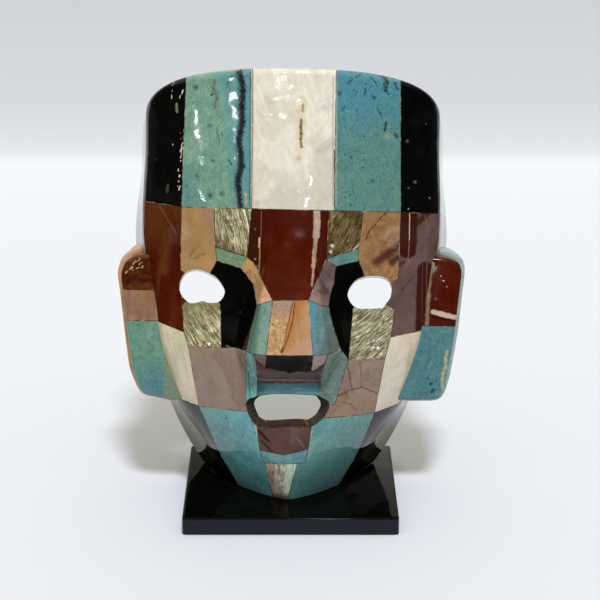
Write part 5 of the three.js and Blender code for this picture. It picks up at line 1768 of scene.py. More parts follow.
RECIPES["chin_teal_left"] = teal_slab(
    (63, 9, 20),
    ("wash", ((-28.4, 18.2), (-33.4, 32.4), 0.7, 6), (96, 142, 140), 0.5),
    spot((-27.9, 29.4), 0.8, (46, 74, 72)), spot((-20.2, 22), 0.6, (46, 74, 72)),
    mark((-14.9, 28.2), (-11.6, 14.2), 0.45, (196, 186, 152), 0.7, 0.5, 0.5),
    *CORNER_LEFT,
    blue=0.55,
    cast=(1.2, 1.35, 1.4),
)
RECIPES["chin_teal_right"] = teal_slab(
    (93, 9, 60),
    ("wash", ((18.3, 25.6), (25.3, 14.6), 0.8, 6), (84, 122, 124), 0.6),
    mark((10.3, 26.2), (7.3, 16.4), 0.45, (196, 186, 152), 0.7, 0.5, 0.5),
    spot((18.2, 31.2), 0.7, (46, 74, 72)), spot((28.1, 27.3), 0.6, (60, 84, 80)),
    *CORNER_RIGHT,
    blue=0.4,
    cast=(1.2, 1.22, 1.2),
)
print(len(RECIPES), "recipes so far")

# %% [markdown]
# ## The white slab
# It is a pale marble with one long brown stain down its middle, thin creases, a brighter patch low on the
# left, and a soft painted highlight beside the stain. The lacquer lies in stronger waves here, so it breaks
# up what it mirrors.

# %% White recipe
RECIPES["forehead_white"] = slab(
    ((190, 180, 162), (202, 194, 178), (212, 206, 192), (226, 222, 211)),
    (13, 0.8, 2.2),
    ("streaks", (112, 30, 5, 0.6, 0.46, 0.66), (228, 224, 214), 0.5),
    ("streaks", (60, 22, 3, 0.8, 0.52, 0.7), (200, 191, 172), 0.35),
    ("veins", (16, 0.01, 1.2, 0.52), (236, 232, 222), 0.45),
    ("wash", ((9.2, 154.1), (13.5, 149.8), 0.9, 8), (188, 182, 172), 0.55),
    *trail(
        [(3.9, 171.2), (3.3, 166.1), (3.9, 161.8), (3.3, 156.6), (3, 146.3)],
        3, (214, 190, 142), 0.55, 1, 1.2, 3,
    ),
    mark((4.2, 169.1), (4.1, 166.5), 0.9, (140, 100, 58), 0.75, 0.9, 0.8, 1.2),
    *trail(
        [(3.6, 162.6), (3.3, 159.6), (3.6, 157), (3.4, 154.5), (3.8, 151)],
        0.95, (92, 62, 34), 0.8, 0.85, 0.9, 1,
    ),
    spot((2.6, 146.3), 1.5, (190, 160, 116), 0.6),
    mark((11.8, 149.4), (17.8, 152.8), 3, (184, 177, 162), 0.6, 1, 1.2, 3),
    mark((11.4, 151.3), (17.4, 155.4), 0.4, (172, 163, 144), 0.5, 1, 0.9),
    mark((9.8, 170), (17.1, 172.6), 0.4, (186, 178, 160), 0.5, 1, 0.9),
    mark((10.7, 167), (17.6, 169.6), 2.2, (196, 189, 174), 0.5, 1, 1.2, 3),
    mark((5.8, 145.5), (14.5, 141.6), 0.3, (232, 228, 218), 0.35, 1, 1.4),
    mark((-1, 136.3), (16.3, 137.3), 0.3, (232, 228, 218), 0.25, 1, 1.4),
    mark((-16.8, 159.7), (-10.8, 156.8), 0.22, (192, 184, 166), 0.5, 0.6, 0.6),
    mark((-16.7, 147.6), (-11.4, 140.9), 0.24, (190, 182, 162), 0.5, 0.6, 0.8),
    mark((11.3, 126.9), (17.3, 130.8), 0.3, (184, 174, 152), 0.6, 0.7, 1),
    mark((-13.9, 129.5), (-8.7, 134.9), 3.4, (230, 226, 214), 0.45, 1, 1.6, 4),
    # A soft painted highlight beside the stain
    mark((5.8, 145.5), (6.4, 137.7), 1.2, (236, 232, 222), 0.5, 1, 1.8, 3),
    mark((17, 181.6), (17.8, 125.6), 0.4, (176, 156, 116), 0.7, 0.5, 0.5),
    mark((18, 149.8), (18.5, 125.1), 0.35, (48, 40, 32), 0.8, 0.4, 0.4),
    mark((-17.2, 170.8), (-16.9, 125.1), 0.4, (196, 166, 130), 0.55, 0.6, 0.6),
    spot((-15.1, 126.5), 1.5, (176, 166, 148), 0.6),
    lacquer=(0.5, 0.02, 0.12),
    grain=(1.6, 0.05),
    cast=(1.1, 1.08, 1.01),
)
print("forehead_white:", len(RECIPES["forehead_white"]["layers"]), "layers")

# %% [markdown]
# ## Red slabs
# The red-brown stone is dark and fine grained, with cream veins that were there before it was sawn: one
# long vein runs down beside the right edge of the centre slab. It gets a lower specular level than the
# others, because it hardly mirrors anything.

# %% Red recipes
RED_TONES = ((60, 12, 3), (68, 16, 4), (76, 22, 7), (92, 36, 16))
RECIPES["brow_red_centre"] = slab(
    RED_TONES,
    (8, 0.8, 1.6),
    ("flecks", (1.5, 0.22, 0.35, 0.5), (104, 50, 32), 0.6),
    ("streaks", (88, 26, 2.4, 0.5, 0.55, 0.75), (84, 32, 16), 0.4),
    ("wash", ((-14.1, 112.3), (-16, 112.2), 0.6, 2), (44, 28, 14), 0.75),
    *trail([(-13.2, 123), (-13.2, 117.3), (-13.3, 111.5)], 0.24, (150, 96, 72), 0.7, 0.5, 0.5, 1.4),
    *trail([(-13.9, 110.8), (-14, 107)], 0.6, (206, 168, 140), 0.95, 0.5, 0.5, 1.4),
    *trail([(-13.7, 107), (-13.7, 102.1), (-14, 95.8)], 0.36, (176, 124, 96), 0.85, 0.5, 0.5, 1.4),
    *trail([(10.9, 124.7), (11, 118.6), (10.8, 112.3)], 1.75, (182, 158, 136), 0.92, 0.35, 0.7, 2),
    *trail([(10.7, 111.5), (10.2, 105.4), (9.8, 99.5)], 1.15, (176, 148, 124), 0.9, 0.5, 0.9, 2),
    *trail([(9.8, 99.5), (9.5, 95.3), (9.2, 91.1)], 0.6, (168, 136, 112), 0.85, 0.6, 0.7, 1.6),
    mark((9.6, 122.1), (10.1, 102.1), 0.6, (150, 116, 92), 0.5, 0.8, 0.9, 1.6),
    spot((-15.6, 101.5), 0.5, GOLD, 0.8), spot((-15.1, 98.4), 0.4, GOLD, 0.7),
    spot((-16, 114.9), 0.4, (176, 160, 120), 0.7),
    specular=0.15,
    rough=(0.15, 0.25),
    grain=(0.9, 0.2),
    cast=(1, 0.9, 0.5),
)
RECIPES["temple_red_left"] = slab(
    RED_TONES,
    (9, 0.8, 1.4),
    ("streaks", (82, 46, 3, 0.5, 0.46, 0.66), (96, 46, 20), 0.65),
    ("wash", ((-52.9, 103), (-59.3, 115.3), 0.7, 8), (94, 48, 18), 0.85),
    mark((-55.6, 108.3), (-56.6, 93.6), 3.6, (96, 56, 28), 0.6, 0.9, 1.2, 3),
    mark((-52.8, 120.4), (-51, 113.2), 1.6, (74, 26, 8), 0.6, 0.9, 1.2, 3),
    ("streaks", (88, 30, 1.2, 0.3, 0.52, 0.7), (66, 26, 8), 0.5),
    mark((-59.3, 123.9), (-51, 110.9), 0.22, (150, 96, 70), 0.5, 0.5, 0.3),
    ("flecks", (3, 0.14, 0.2, 0.4), (130, 82, 60), 0.4),
    specular=0.1,
    shift=(60, 3, 14),
)
print(len(RECIPES), "recipes so far")

# %% [markdown]
# ## Tan and mauve slabs
# These are banded stones. The bands are streaks, long along the slab and narrow across it, and the stains at
# the eyes' edges are washes and marks. The mauve temple is a dark red stone: its mauve tones are a painted
# soft reflection over its broad middle, and the wide dark red marks are where the red shows.

# %% Tan recipes beside the eyes
RECIPES["brow_tan_left"] = slab(
    ((150, 118, 82), (164, 130, 88), (174, 141, 96), (186, 154, 110)),
    (12, 0.8, 1.6),
    ("streaks", (84, 34, 3, 0.6, 0.48, 0.7), (154, 124, 92), 0.45),
    ("wash", ((-38.8, 108.7), (-33, 110.9), 0.6, 6), (158, 124, 104), 0.8),
    mark((-44.7, 101), (-42, 104.8), 1.6, (126, 100, 66), 0.6, 1, 1.6, 1.8),
    mark((-42.9, 100.2), (-38.4, 102.4), 1.3, (120, 94, 60), 0.6, 1, 1.8, 1.6),
    mark((-46.5, 98.1), (-37.5, 98), 1, (176, 138, 92), 0.5, 0.9, 1.6, 2),
    spot((-43.1, 101.1), 0.5, (214, 180, 142), 0.8),
    ("flecks", (3.4, 0.3, 0.2, 0.8), (142, 112, 76), 0.4),
    cast=(1.04, 0.98, 0.84),
)
RECIPES["brow_tan_right"] = slab(
    ((132, 94, 62), (148, 110, 76), (160, 122, 86), (172, 136, 98)),
    (6, 1.2, 2.4),
    ("streaks", (54, 12, 1.4, 1, 0.52, 0.68), (124, 86, 60), 0.55),
    ("streaks", (60, 10, 0.8, 1, 0.56, 0.7), (190, 152, 108), 0.4),
    *trail([(47.2, 106.7), (42.8, 103.3), (37.4, 99.9)], 3.6, (82, 42, 30), 0.95, 0.9, 1.6, 3),
    *trail([(48.3, 102), (44.7, 99.6)], 3, (66, 30, 22), 0.9, 0.9, 1.6, 3),
    *trail(
        [(40.4, 121.6), (37.4, 118.1), (33.9, 114.1), (32.7, 110.1)],
        0.36, (80, 46, 28), 0.85, 0.5, 0.8,
    ),
    mark((42.6, 123.3), (40.4, 121.1), 0.5, (84, 52, 36), 0.7, 0.6, 0.9),
    ("veins", (7, 0.02, 1.8, 0.5), (110, 72, 48), 0.6),
    mark((31.2, 100.2), (35.8, 93.7), 1.8, (124, 92, 74), 0.6, 1, 1.6),
    shift=(22, 6, 4),
    grain=(1, 0.16),
    cast=(1.02, 0.97, 0.85),
)
RECIPES["bridge_tan_left"] = slab(
    ((160, 120, 76), (178, 138, 88), (192, 150, 100), (204, 166, 120)),
    (5, 1, 1.8),
    ("wash", ((-12.5, 89.8), (-9.8, 84.9), 0.5, 4), (192, 150, 124), 0.8),
    ("veins", (4, 0.03, 1.6, 0.5), (120, 74, 36), 0.8),
    mark((-19.7, 99.9), (-12.5, 91.4), 0.4, (206, 160, 84), 0.6),
)
print(len(RECIPES), "recipes so far")

# %% Mauve recipes beside the eyes
RECIPES["bridge_mauve_right"] = slab(
    ((70, 56, 50), (92, 76, 70), (112, 94, 88), (134, 114, 106)),
    (5, 0.8, 1.8),
    ("streaks", (-52, 14, 1.2, 0.5, 0.5, 0.64), (62, 58, 60), 0.6),
    ("wash", ((16.8, 88), (15, 83.8), 0.4, 4), (150, 122, 112), 0.6),
    cast=(1.1, 1.04, 1),
)
RECIPES["temple_mauve_right"] = slab(
    # Mauve tones: a painted soft reflection over a dark red stone, whose red shows in the wide dark marks
    ((80, 58, 53), (92, 70, 64), (102, 80, 74), (114, 91, 84)),
    (10, 0.8, 1.8),
    ("streaks", (86, 50, 3.5, 0.6, 0.5, 0.64), (108, 86, 80), 0.5),
    mark((51.6, 125.5), (51.8, 104.6), 4.6, (56, 19, 7), 0.97, 0.25, 1.2, 3),
    mark((53, 123.7), (61.8, 122.2), 2.8, (58, 22, 10), 0.93, 0.6, 1.4, 3),
    mark((54.2, 115.5), (59.6, 120.1), 2.4, (60, 24, 14), 0.85, 0.7, 1.4, 3),
    mark((50.2, 99.2), (46.6, 96.7), 1, (58, 24, 14), 0.7, 0.7, 1.4, 3),
    mark((49.6, 86.6), (54.9, 92.6), 0.5, (56, 26, 18), 0.55, 0.7, 1, 3),
    mark((59.9, 95.1), (59.8, 65.7), 4.2, (54, 20, 11), 0.95, 0.3, 0.8, 3),
    mark((52, 121.9), (52.3, 109.1), 0.3, (206, 176, 152), 0.85, 0.5, 0.5),
    mark((52.3, 109.1), (52, 99.1), 0.22, (150, 104, 84), 0.8, 0.5, 0.5),
    mark((58.7, 98.8), (59.2, 71.3), 0.22, (112, 66, 52), 0.6, 0.5, 0.5),
    mark((60.7, 98.7), (61.2, 69.2), 0.26, (138, 100, 86), 0.5, 0.5, 0.5),
    mark((59.1, 119.7), (61.8, 109.5), 0.5, (120, 88, 58), 0.6, 0.6, 0.8),
    ("flecks", (3, 0.3, 0.2, 0.6), (134, 104, 92), 0.4),
    specular=0.06,
)
print(len(RECIPES), "recipes so far")

# %% The ridge of the nose
RECIPES["nose_ridge_left"] = slab(
    ((156, 116, 78), (172, 134, 94), (188, 150, 108), (208, 174, 130)),
    (2.4, 1.6, 3.2),
    ("wash", ((-5.3, 75), (-4.1, 81.7), 0.5, 4), (160, 128, 114), 0.8),
    ("flecks", (1.3, 0.36, 0.5, 0.8), (220, 184, 134), 0.6),
    ("flecks", (2.2, 0.45, 0.45, 1.2), (98, 68, 38), 0.8),
    ("flecks", (1.2, 0.26, 0.4, 0.6), (84, 60, 36), 0.75),
    spot((-7.5, 74.7), 0.7, (50, 42, 28)), spot((-6.1, 68.3), 0.6, (60, 44, 28)),
    spot((-2.6, 71.3), 0.5, (70, 50, 30)),
    *trail(
        [(1.2, 83.9), (0.8, 79.7), (0.1, 75.1), (-1.7, 68.8), (-3.8, 63.3)],
        0.5, (72, 30, 12), 0.92, 0.5, 0.5,
    ),
    *trail([(0.2, 82.6), (-0.1, 77.6), (-1.8, 71.7)], 0.7, (150, 98, 50), 0.6, 0.9, 0.9),
    lacquer=(0.2, 0.02, 0.05),
    grain=(0.8, 0.22),
    cast=(0.9, 0.9, 0.8),
)
RECIPES["nose_ridge_right"] = slab(
    ((172, 124, 80), (184, 138, 96), (192, 148, 110), (202, 160, 124)),
    (7, 0.8, 1.6),
    ("wash", ((6.8, 76.8), (2, 78.4), 0.5, 5), (182, 118, 52), 0.85),
    ("streaks", (100, 26, 1.8, 0.4, 0.5, 0.66), (174, 112, 56), 0.45),
    ("wash", ((4.3, 70.1), (7, 64.3), 0.6, 5), (198, 154, 128), 0.6),
    *trail(
        [(1.8, 83.9), (1.5, 79.7), (0.8, 75.1), (-1.1, 68.8), (-3.1, 63.3)],
        0.35, (96, 44, 16), 0.9, 0.4, 0.5,
    ),
    cast=(0.8, 0.8, 0.76),
)
print(len(RECIPES), "recipes so far")

# %% Under the nose and the lips
EVEN_CLOUDS = (9, 0.7, 1.6)
RECIPES["nose_under_left"] = slab(
    ((130, 104, 96), (150, 124, 112), (176, 146, 132)), EVEN_CLOUDS, cast=(0.7, 0.72, 0.74)
)
RECIPES["nose_under_right"] = slab(
    ((124, 106, 108), (140, 124, 124), (154, 138, 138)), EVEN_CLOUDS, cast=(1.6, 1.55, 1.5)
)
RECIPES["upper_lip_mauve"] = slab(
    ((62, 48, 46), (76, 62, 60), (90, 74, 72), (104, 88, 84)),
    EVEN_CLOUDS,
    # The dark spot at the lip's right end is painted shade in its recessed corner
    spot((12.1, 48.8), 1.2, (40, 30, 28)), ("flecks", (2.6, 0.2, 0.3, 0.6), (120, 98, 90), 0.4),
    cast=(1.15, 1.03, 0.97),
)
RECIPES["lower_lip"] = slab(
    ((74, 46, 42), (86, 60, 56), (96, 70, 64), (112, 84, 76)),
    EVEN_CLOUDS,
    ("flecks", (2.8, 0.24, 0.3, 0.7), (126, 96, 84), 0.4),
    mark((-13.1, 25.2), (-8.6, 21.1), 0.9, (34, 18, 14), 0.85, 0.6, 1),
    mark((-11.7, 20.8), (-7.2, 16.2), 0.8, (40, 22, 16), 0.8, 0.6, 1),
    mark((-13.6, 29.3), (11.1, 29.8), 1.6, (52, 26, 14), 0.9, 0.6, 1.4, 1.6),
    *trail(
        [(-13.6, 28.4), (-8.3, 27.4), (-2.1, 28.9), (4.1, 27.7), (9.8, 28.9)],
        0.9, (62, 34, 22), 0.85, 0.6, 1.4, 1.6,
    ),
    mark((-0.4, 29.8), (4.9, 30.3), 0.7, (92, 74, 62), 0.7, 0.8, 1.2, 1.6),
    mark((-11.8, 30.3), (-8.3, 29.2), 0.5, (104, 72, 40), 0.7, 0.8, 1.2, 1.6),
    mark((3.7, 22.8), (6.4, 19.2), 0.8, (116, 88, 78), 0.5),
    specular=0.2,
    rough=(0.2, 0.3),
    cast=(0.85, 0.86, 0.8),
)
print(len(RECIPES), "recipes so far")

# %% [markdown]
# ## Cheeks
# The mauve cheeks have brown veins, which form a net on the right one. The white slabs beside them are
# striped along their length, and yellower and darker towards the ears: partly the stone's own colour and
# partly painted shade where the cheek turns away.

# %% Mauve cheeks
RECIPES["cheek_mauve_left"] = slab(
    ((118, 102, 96), (130, 114, 106), (142, 124, 112), (154, 136, 120)),
    EVEN_CLOUDS,
    ("streaks", (95, 40, 4, 0.5, 0.48, 0.68), (122, 104, 100), 0.5),
    ("wash", ((-37, 52.7), (-43.4, 58.3), 0.6, 6), (162, 138, 110), 0.6),
    ("wash", ((-37, 43.2), (-40.7, 34.8), 0.6, 6), (150, 120, 106), 0.6),
    ("flecks", (3.4, 0.25, 0.2, 0.8), (104, 84, 74), 0.4),
    *CORNER_LEFT,
    cast=(0.99, 0.94, 0.83),
)
VEIN_BROWN = (92, 60, 44)
RECIPES["cheek_mauve_right"] = slab(
    ((120, 100, 92), (136, 114, 102), (148, 126, 110), (160, 138, 120)),
    EVEN_CLOUDS,
    ("wash", ((24.5, 50), (20.9, 52.8), 0.3, 4), (140, 128, 132), 0.8),
    ("wash", ((29.5, 44.1), (27.9, 37.8), 0.6, 5), (146, 118, 92), 0.7),
    *trail([(25.2, 55.4), (26.5, 49.9), (27.8, 42)], 0.4, VEIN_BROWN, 0.85, 0.5, 0.9),
    *trail([(31, 56.1), (31.6, 50.5), (32.2, 44.8)], 0.32, VEIN_BROWN, 0.7, 0.5, 0.9),
    *trail([(20.7, 40.6), (26, 43), (31.8, 44.4), (38.7, 40.7)], 0.45, VEIN_BROWN, 0.85, 0.5, 1),
    *trail([(23.8, 38.1), (27, 37), (29.8, 33.8)], 0.4, VEIN_BROWN, 0.8, 0.5, 0.9),
    ("veins", (10, 0.018, 1.8, 0.5), VEIN_BROWN, 0.5),
    *CORNER_RIGHT,
    shift=(9, 9, 90),
    cast=(0.95, 0.9, 0.85),
)
print(len(RECIPES), "recipes so far")

# %% White cheeks
RECIPES["cheek_white_left"] = slab(
    ((168, 160, 136), (182, 174, 152), (194, 187, 166), (204, 198, 180)),
    (12, 0.7, 1.8),
    ("streaks", (104, 60, 2.6, 0.4, 0.46, 0.66), (164, 154, 128), 0.6),
    ("streaks", (106, 60, 1, 0.3, 0.54, 0.7), (208, 204, 188), 0.5),
    # Yellower and darker towards the ear: partly the stone's colour, partly painted shade
    ("wash", ((-51.9, 50.6), (-56.7, 49.1), 0.5, 5), (180, 162, 126), 0.55),
    ("wash", ((-56.2, 51.2), (-59.6, 49.9), 0.4, 5), (138, 126, 86), 0.7),
    cast=(1.25, 1.18, 1.09),
)
RECIPES["cheek_white_right"] = slab(
    ((178, 170, 152), (190, 183, 166), (198, 191, 176), (208, 203, 190)),
    (12, 0.7, 1.8),
    ("streaks", (72, 60, 2.6, 0.4, 0.5, 0.7), (180, 168, 146), 0.5),
    # Yellower and darker towards the ear: partly the stone's colour, partly painted shade
    ("wash", ((51, 49.9), (56.2, 50.9), 0.6, 5), (188, 172, 142), 0.6),
    ("wash", ((57, 53.7), (60.9, 52.4), 0.4, 5), (176, 148, 110), 0.7),
    mark((54.8, 61.7), (51, 39), 1.4, (172, 150, 118), 0.45, 1, 1.2, 4),
    shift=(50, 2, 5),
    cast=(1.28, 1.22, 1.15),
)
print(len(RECIPES), "recipes so far")

# %% [markdown]
# ## Pearl
# Mother of pearl shows fine curved streaks, from dark olive to almost white, that cross the slab at its
# own angle. Three sets of streaks at slightly different angles give that crossed look, and one shared
# function takes the angle and how bright the streaks are.

# %% Pearl recipes
PEARL_TONES = ((92, 84, 50), (118, 110, 74), (140, 134, 98), (172, 168, 132))


def pearl_stone(angle, *layers, tones=PEARL_TONES, shine=1, **more):
    """Mother of pearl: fine curved streaks, from dark olive to almost white, that cross the slab."""
    pattern = (
        ("clouds", (4.5, 1.2, 3), (70, 62, 34), 0.6),
        ("streaks", (angle, 9, 1.3, 1.4, 0.47, 0.56), (192, 186, 148), 0.6 * shine),
        ("streaks", (angle + 6, 7.2, 0.6, 1.2, 0.52, 0.58), (72, 64, 36), 0.7),
        ("streaks", (angle - 5, 6.3, 0.5, 1.2, 0.56, 0.62), (238, 234, 208), 0.85 * shine),
        ("flecks", (1.4, 0.3, 0.18, 0.9), (236, 232, 206), 0.7 * shine),
    )
    waves = {"lacquer": (0.35, 0.03, 0.1), "grain": (0.8, 0.2)}
    return slab(tones, (4, 1.4, 2.8), *pattern, *layers, **waves, **more)


RECIPES["brow_pearl_left"] = pearl_stone(
    -74,
    ("wash", ((-30.4, 112.9), (-33.5, 106.4), 0.6, 3), (100, 72, 50), 0.75),
    spot((-31.7, 108.7), 1.2, (108, 62, 42), 0.7),
    # Two pale spots: painted highlights
    spot((-27.7, 119.4), 0.7, (246, 236, 190), 0.85, 0.9, 1.2),
    spot((-26.2, 116.7), 0.6, (246, 236, 190), 0.8, 0.9, 1.2),
    mark((-21.1, 109.7), (-19.3, 104.4), 0.8, (190, 150, 96), 0.6, 0.9, 0.8),
    cast=(1.17, 1.13, 1.02),
)
RECIPES["brow_pearl_right"] = pearl_stone(
    62,
    ("wash", ((22.8, 118.4), (27.1, 121.9), 0.7, 4), (56, 40, 22), 0.6),
    # Two white spots at the lower left: painted glints
    spot((17.8, 107.7), 1, (250, 244, 220), 0.9, 0.9, 1.6),
    spot((17.2, 105), 0.8, (240, 232, 214), 0.8, 0.9, 1.4),
    mark((26.6, 105.3), (30.5, 108.8), 0.5, (226, 216, 190), 0.8, 0.8, 1.2, 1),
    mark((17.2, 114), (17.9, 121.6), 0.7, (146, 124, 84), 0.6, 0.9, 1),
    tones=((50, 38, 20), (74, 58, 34), (94, 78, 50), (120, 104, 70)),
    shift=(9, 4, 2),
    shine=0.4,
    cast=(0.85, 0.7, 0.5),
)
print(len(RECIPES), "recipes so far")

# %% Pearl on the cheekbones and the chin
RECIPES["cheekbone_pearl_left"] = pearl_stone(
    -46,
    ("wash", ((-38.5, 70.3), (-38.7, 78.1), 0.7, 4), (118, 112, 72), 0.7),
    spot((-41.4, 77.4), 1.8, (170, 168, 136), 0.7), spot((-35.1, 77.5), 2.2, (124, 100, 50), 0.7),
    spot((-44.6, 75.3), 1, (190, 186, 160), 0.6),
    shift=(2, 7, 30),
    cast=(1.1, 1.03, 0.97),
)
RECIPES["cheekbone_pearl_right"] = pearl_stone(
    40,
    # Three white spots: painted glints
    spot((39, 61.8), 0.8, (252, 250, 236), 0.9), spot((36.7, 65.1), 0.5, (252, 250, 236), 0.9),
    spot((40.4, 59), 0.6, (252, 250, 236), 0.9),
    shift=(12, 27, 10),
    tones=((98, 92, 64), (120, 114, 84), (138, 132, 104), (164, 160, 130)),
    cast=(0.95, 0.92, 0.9),
)
RECIPES["chin_wedge_pearl"] = pearl_stone(
    84,
    ("streaks", (90, 22, 2.6, 0.6, 0.48, 0.6), (206, 212, 196), 0.6),
    ("wash", ((-4, 3.8), (-6.2, 3.5), 0.6, 3), (116, 94, 70), 0.6),
    ("wash", ((-0.9, 4), (1.3, 4.1), 0.6, 3), (160, 186, 172), 0.6),
    spot((-2.2, 0.9), 1.4, (220, 224, 212), 0.8),
    ("wash", ((-2.1, -2.8), (-2.1, -6.4), 0.4, 3), (70, 48, 32), 0.85),
    tones=((120, 122, 106), (146, 150, 134), (170, 176, 162), (200, 208, 194)),
    shift=(32, 7, 60),
    shine=0.6,
    cast=(1.4, 1.4, 1.3),
)
print(len(RECIPES), "recipes so far")

# %% [markdown]
# ## Ears and rear course
# The ears repeat the face's stones. The rear course is out of sight from the front, apart from thin pale
# strips beside the forehead, so its recipes are plainer.

# %% Left ear
RECIPES["ear_red_left"] = slab(
    ((50, 16, 4), (64, 24, 7), (78, 34, 12), (98, 48, 20)),
    (3, 1.2, 2.6),
    ("wash", ((-70.2, 87.5), (-69.8, 83), 0.6, 3), (104, 52, 18), 0.7),
    ("flecks", (1.5, 0.3, 0.3, 1.2), (150, 92, 48), 0.7),
    # Short cream marks near the top: painted glints
    *[
        mark(start, end, 0.32, (226, 188, 138), 0.85, 0.8, 1.6, 0.7)
        for start, end in (
            ((-68.9, 96.5), (-67.6, 97.9)), ((-70.7, 95.6), (-69.4, 97)), ((-68, 95.2), (-67.1, 96.5)),
            ((-72, 93.3), (-71.6, 94.2)), ((-70.7, 92.9), (-71.2, 94.2)), ((-69.4, 93.8), (-68, 93.8)),
            ((-73.8, 91.5), (-73.4, 92.4)), ((-66.7, 93.8), (-66.2, 94.8)),
        )
    ],
    ("flecks", (0.9, 0.16, 0.3, 0.6), (196, 140, 88), 0.6),
    grain=(0.8, 0.24),
)
RECIPES["ear_tan_left"] = slab(
    ((132, 98, 72), (150, 114, 84), (164, 128, 98), (176, 142, 114)),
    (8, 0.8, 1.8),
    ("streaks", (86, 24, 2.2, 0.5, 0.5, 0.66), (126, 98, 96), 0.6),
    cast=(0.83, 0.78, 0.78),
)
RECIPES["ear_teal_left"] = teal_slab(
    (3, 29, 20),
    ("wash", ((-68.3, 56.6), (-63.7, 35.7), 0.6, 6), (64, 106, 124), 0.8),
    ("wash", ((-58.4, 56.8), (-54.8, 56.8), 0.5, 4), (112, 122, 84), 0.6),
    tones=((70, 108, 98), (82, 122, 108), (92, 132, 116), (110, 146, 128)),
    cast=(1.35, 1.2, 1.08),
)
RECIPES["ear_rear_left"] = slab(
    ((176, 130, 96), (194, 148, 112), (208, 164, 128), (222, 184, 152)),
    (8, 0.8, 1.6),
    ("streaks", (88, 30, 2.6, 0.5, 0.5, 0.7), (186, 134, 96), 0.5),
    cast=(0.96, 0.93, 0.78),
)
print(len(RECIPES), "recipes so far")

# %% Right ear
RECIPES["ear_red_right"] = slab(
    RED_TONES,
    (7, 1, 1.8),
    ("flecks", (1.6, 0.26, 0.4, 0.6), (126, 66, 44), 0.6),
    # Small pale spots near the top: painted glints
    spot((68.5, 89.9), 0.4, (250, 244, 230), 0.9), spot((67.3, 92.1), 0.3, (250, 244, 230), 0.8),
    spot((70.1, 87.2), 0.3, (230, 200, 170), 0.8),
    mark((64.1, 75.8), (74.9, 73.2), 1.5, (196, 176, 154), 0.9, 0.5, 1, 2),
    mark((64.1, 73.5), (75, 71.8), 0.9, (44, 12, 6), 0.8, 0.7, 0.9, 2),
    *trail([(62.7, 98.4), (61.9, 83), (61.5, 69.4)], 1.3, (136, 122, 92), 0.7, 0.8, 1, 3),
    specular=0.15,
    rough=(0.08, 0.16),
    shift=(5, 5, 5),
    grain=(0.9, 0.24),
)
RECIPES["ear_teal_right"] = teal_slab(
    (3, 29, 70),
    ("streaks", (80, 14, 1.6, 0.8, 0.52, 0.66), (48, 96, 100), 0.5),
    ("wash", ((66.7, 58.5), (73.1, 57.7), 0.9, 4), (96, 132, 126), 0.4),
    *trail(
        [(71, 57.7), (70.2, 54.9), (70.5, 51.3), (69.2, 47.6), (69.2, 41.2)],
        1.1, (172, 160, 122), 0.85, 0.8, 1.8, 1.2,
    ),
    spot((63.9, 42.9), 1, (24, 40, 46), 0.85), spot((64.9, 40.2), 1.2, (24, 36, 40), 0.85),
    spot((62.5, 45.7), 0.8, (30, 50, 54), 0.8), spot((66.2, 44.4), 0.7, (34, 56, 56), 0.8),
    spot((64, 39.3), 0.9, (30, 44, 46), 0.8),
    blue=0.7,
    cast=(0.88, 0.88, 0.9),
)
RECIPES["ear_rear_right"] = teal_slab(
    (73, 29, 20), tones=((128, 150, 136), (150, 170, 156), (168, 186, 172))
)
print(len(RECIPES), "recipes so far")

# %% Rear course
RECIPES["rear_crown_left"] = teal_slab(
    (33, 29, 50), tones=((110, 152, 140), (134, 172, 160), (152, 186, 174), (170, 198, 188))
)
RECIPES["rear_crown_right"] = teal_slab(
    (3, 49, 50), tones=((110, 152, 148), (132, 170, 166), (150, 184, 180), (168, 196, 192))
)
RECIPES["rear_crown_centre"] = slab(
    ((196, 186, 160), (212, 204, 182), (224, 218, 200)),
    (12, 1, 1.8),
    ("veins", (16, 0.02, 1.4, 0.5), (190, 170, 136), 0.4),
)
LILAC = ((124, 116, 122), (144, 136, 140), (160, 152, 154), (178, 170, 170))
for side, shift in (("left", (4, 4, 4)), ("right", (44, 4, 24))):
    RECIPES["rear_temple_" + side] = slab(LILAC, (10, 0.8, 1.8), shift=shift)
    RECIPES["rear_ear_" + side] = slab(
        ((110, 96, 92), (128, 112, 106), (144, 128, 118), (160, 142, 130)),
        (12, 0.8, 1.8),
        ("streaks", (90, 40, 3, 0.5, 0.5, 0.7), (116, 98, 92), 0.5),
        shift=shift,
    )
print(len(RECIPES), "recipes so far")

# %% [markdown]
# ## Where the shine ends
# Two surfaces are not polished like the rest: the sawn sides of the plinth, whose greyer, bluer tones are a
# painted sheen, and the wall of the mouth, which was filed by hand and is dark. Both get rougher recipes.

# %% Plinth and filed wall
CALM_LACQUER = {"shift": (5, 15, 25), "lacquer": (0.12, 0.003, 0)}
RECIPES["plinth"] = black_stone(**CALM_LACQUER, specular=0.03)
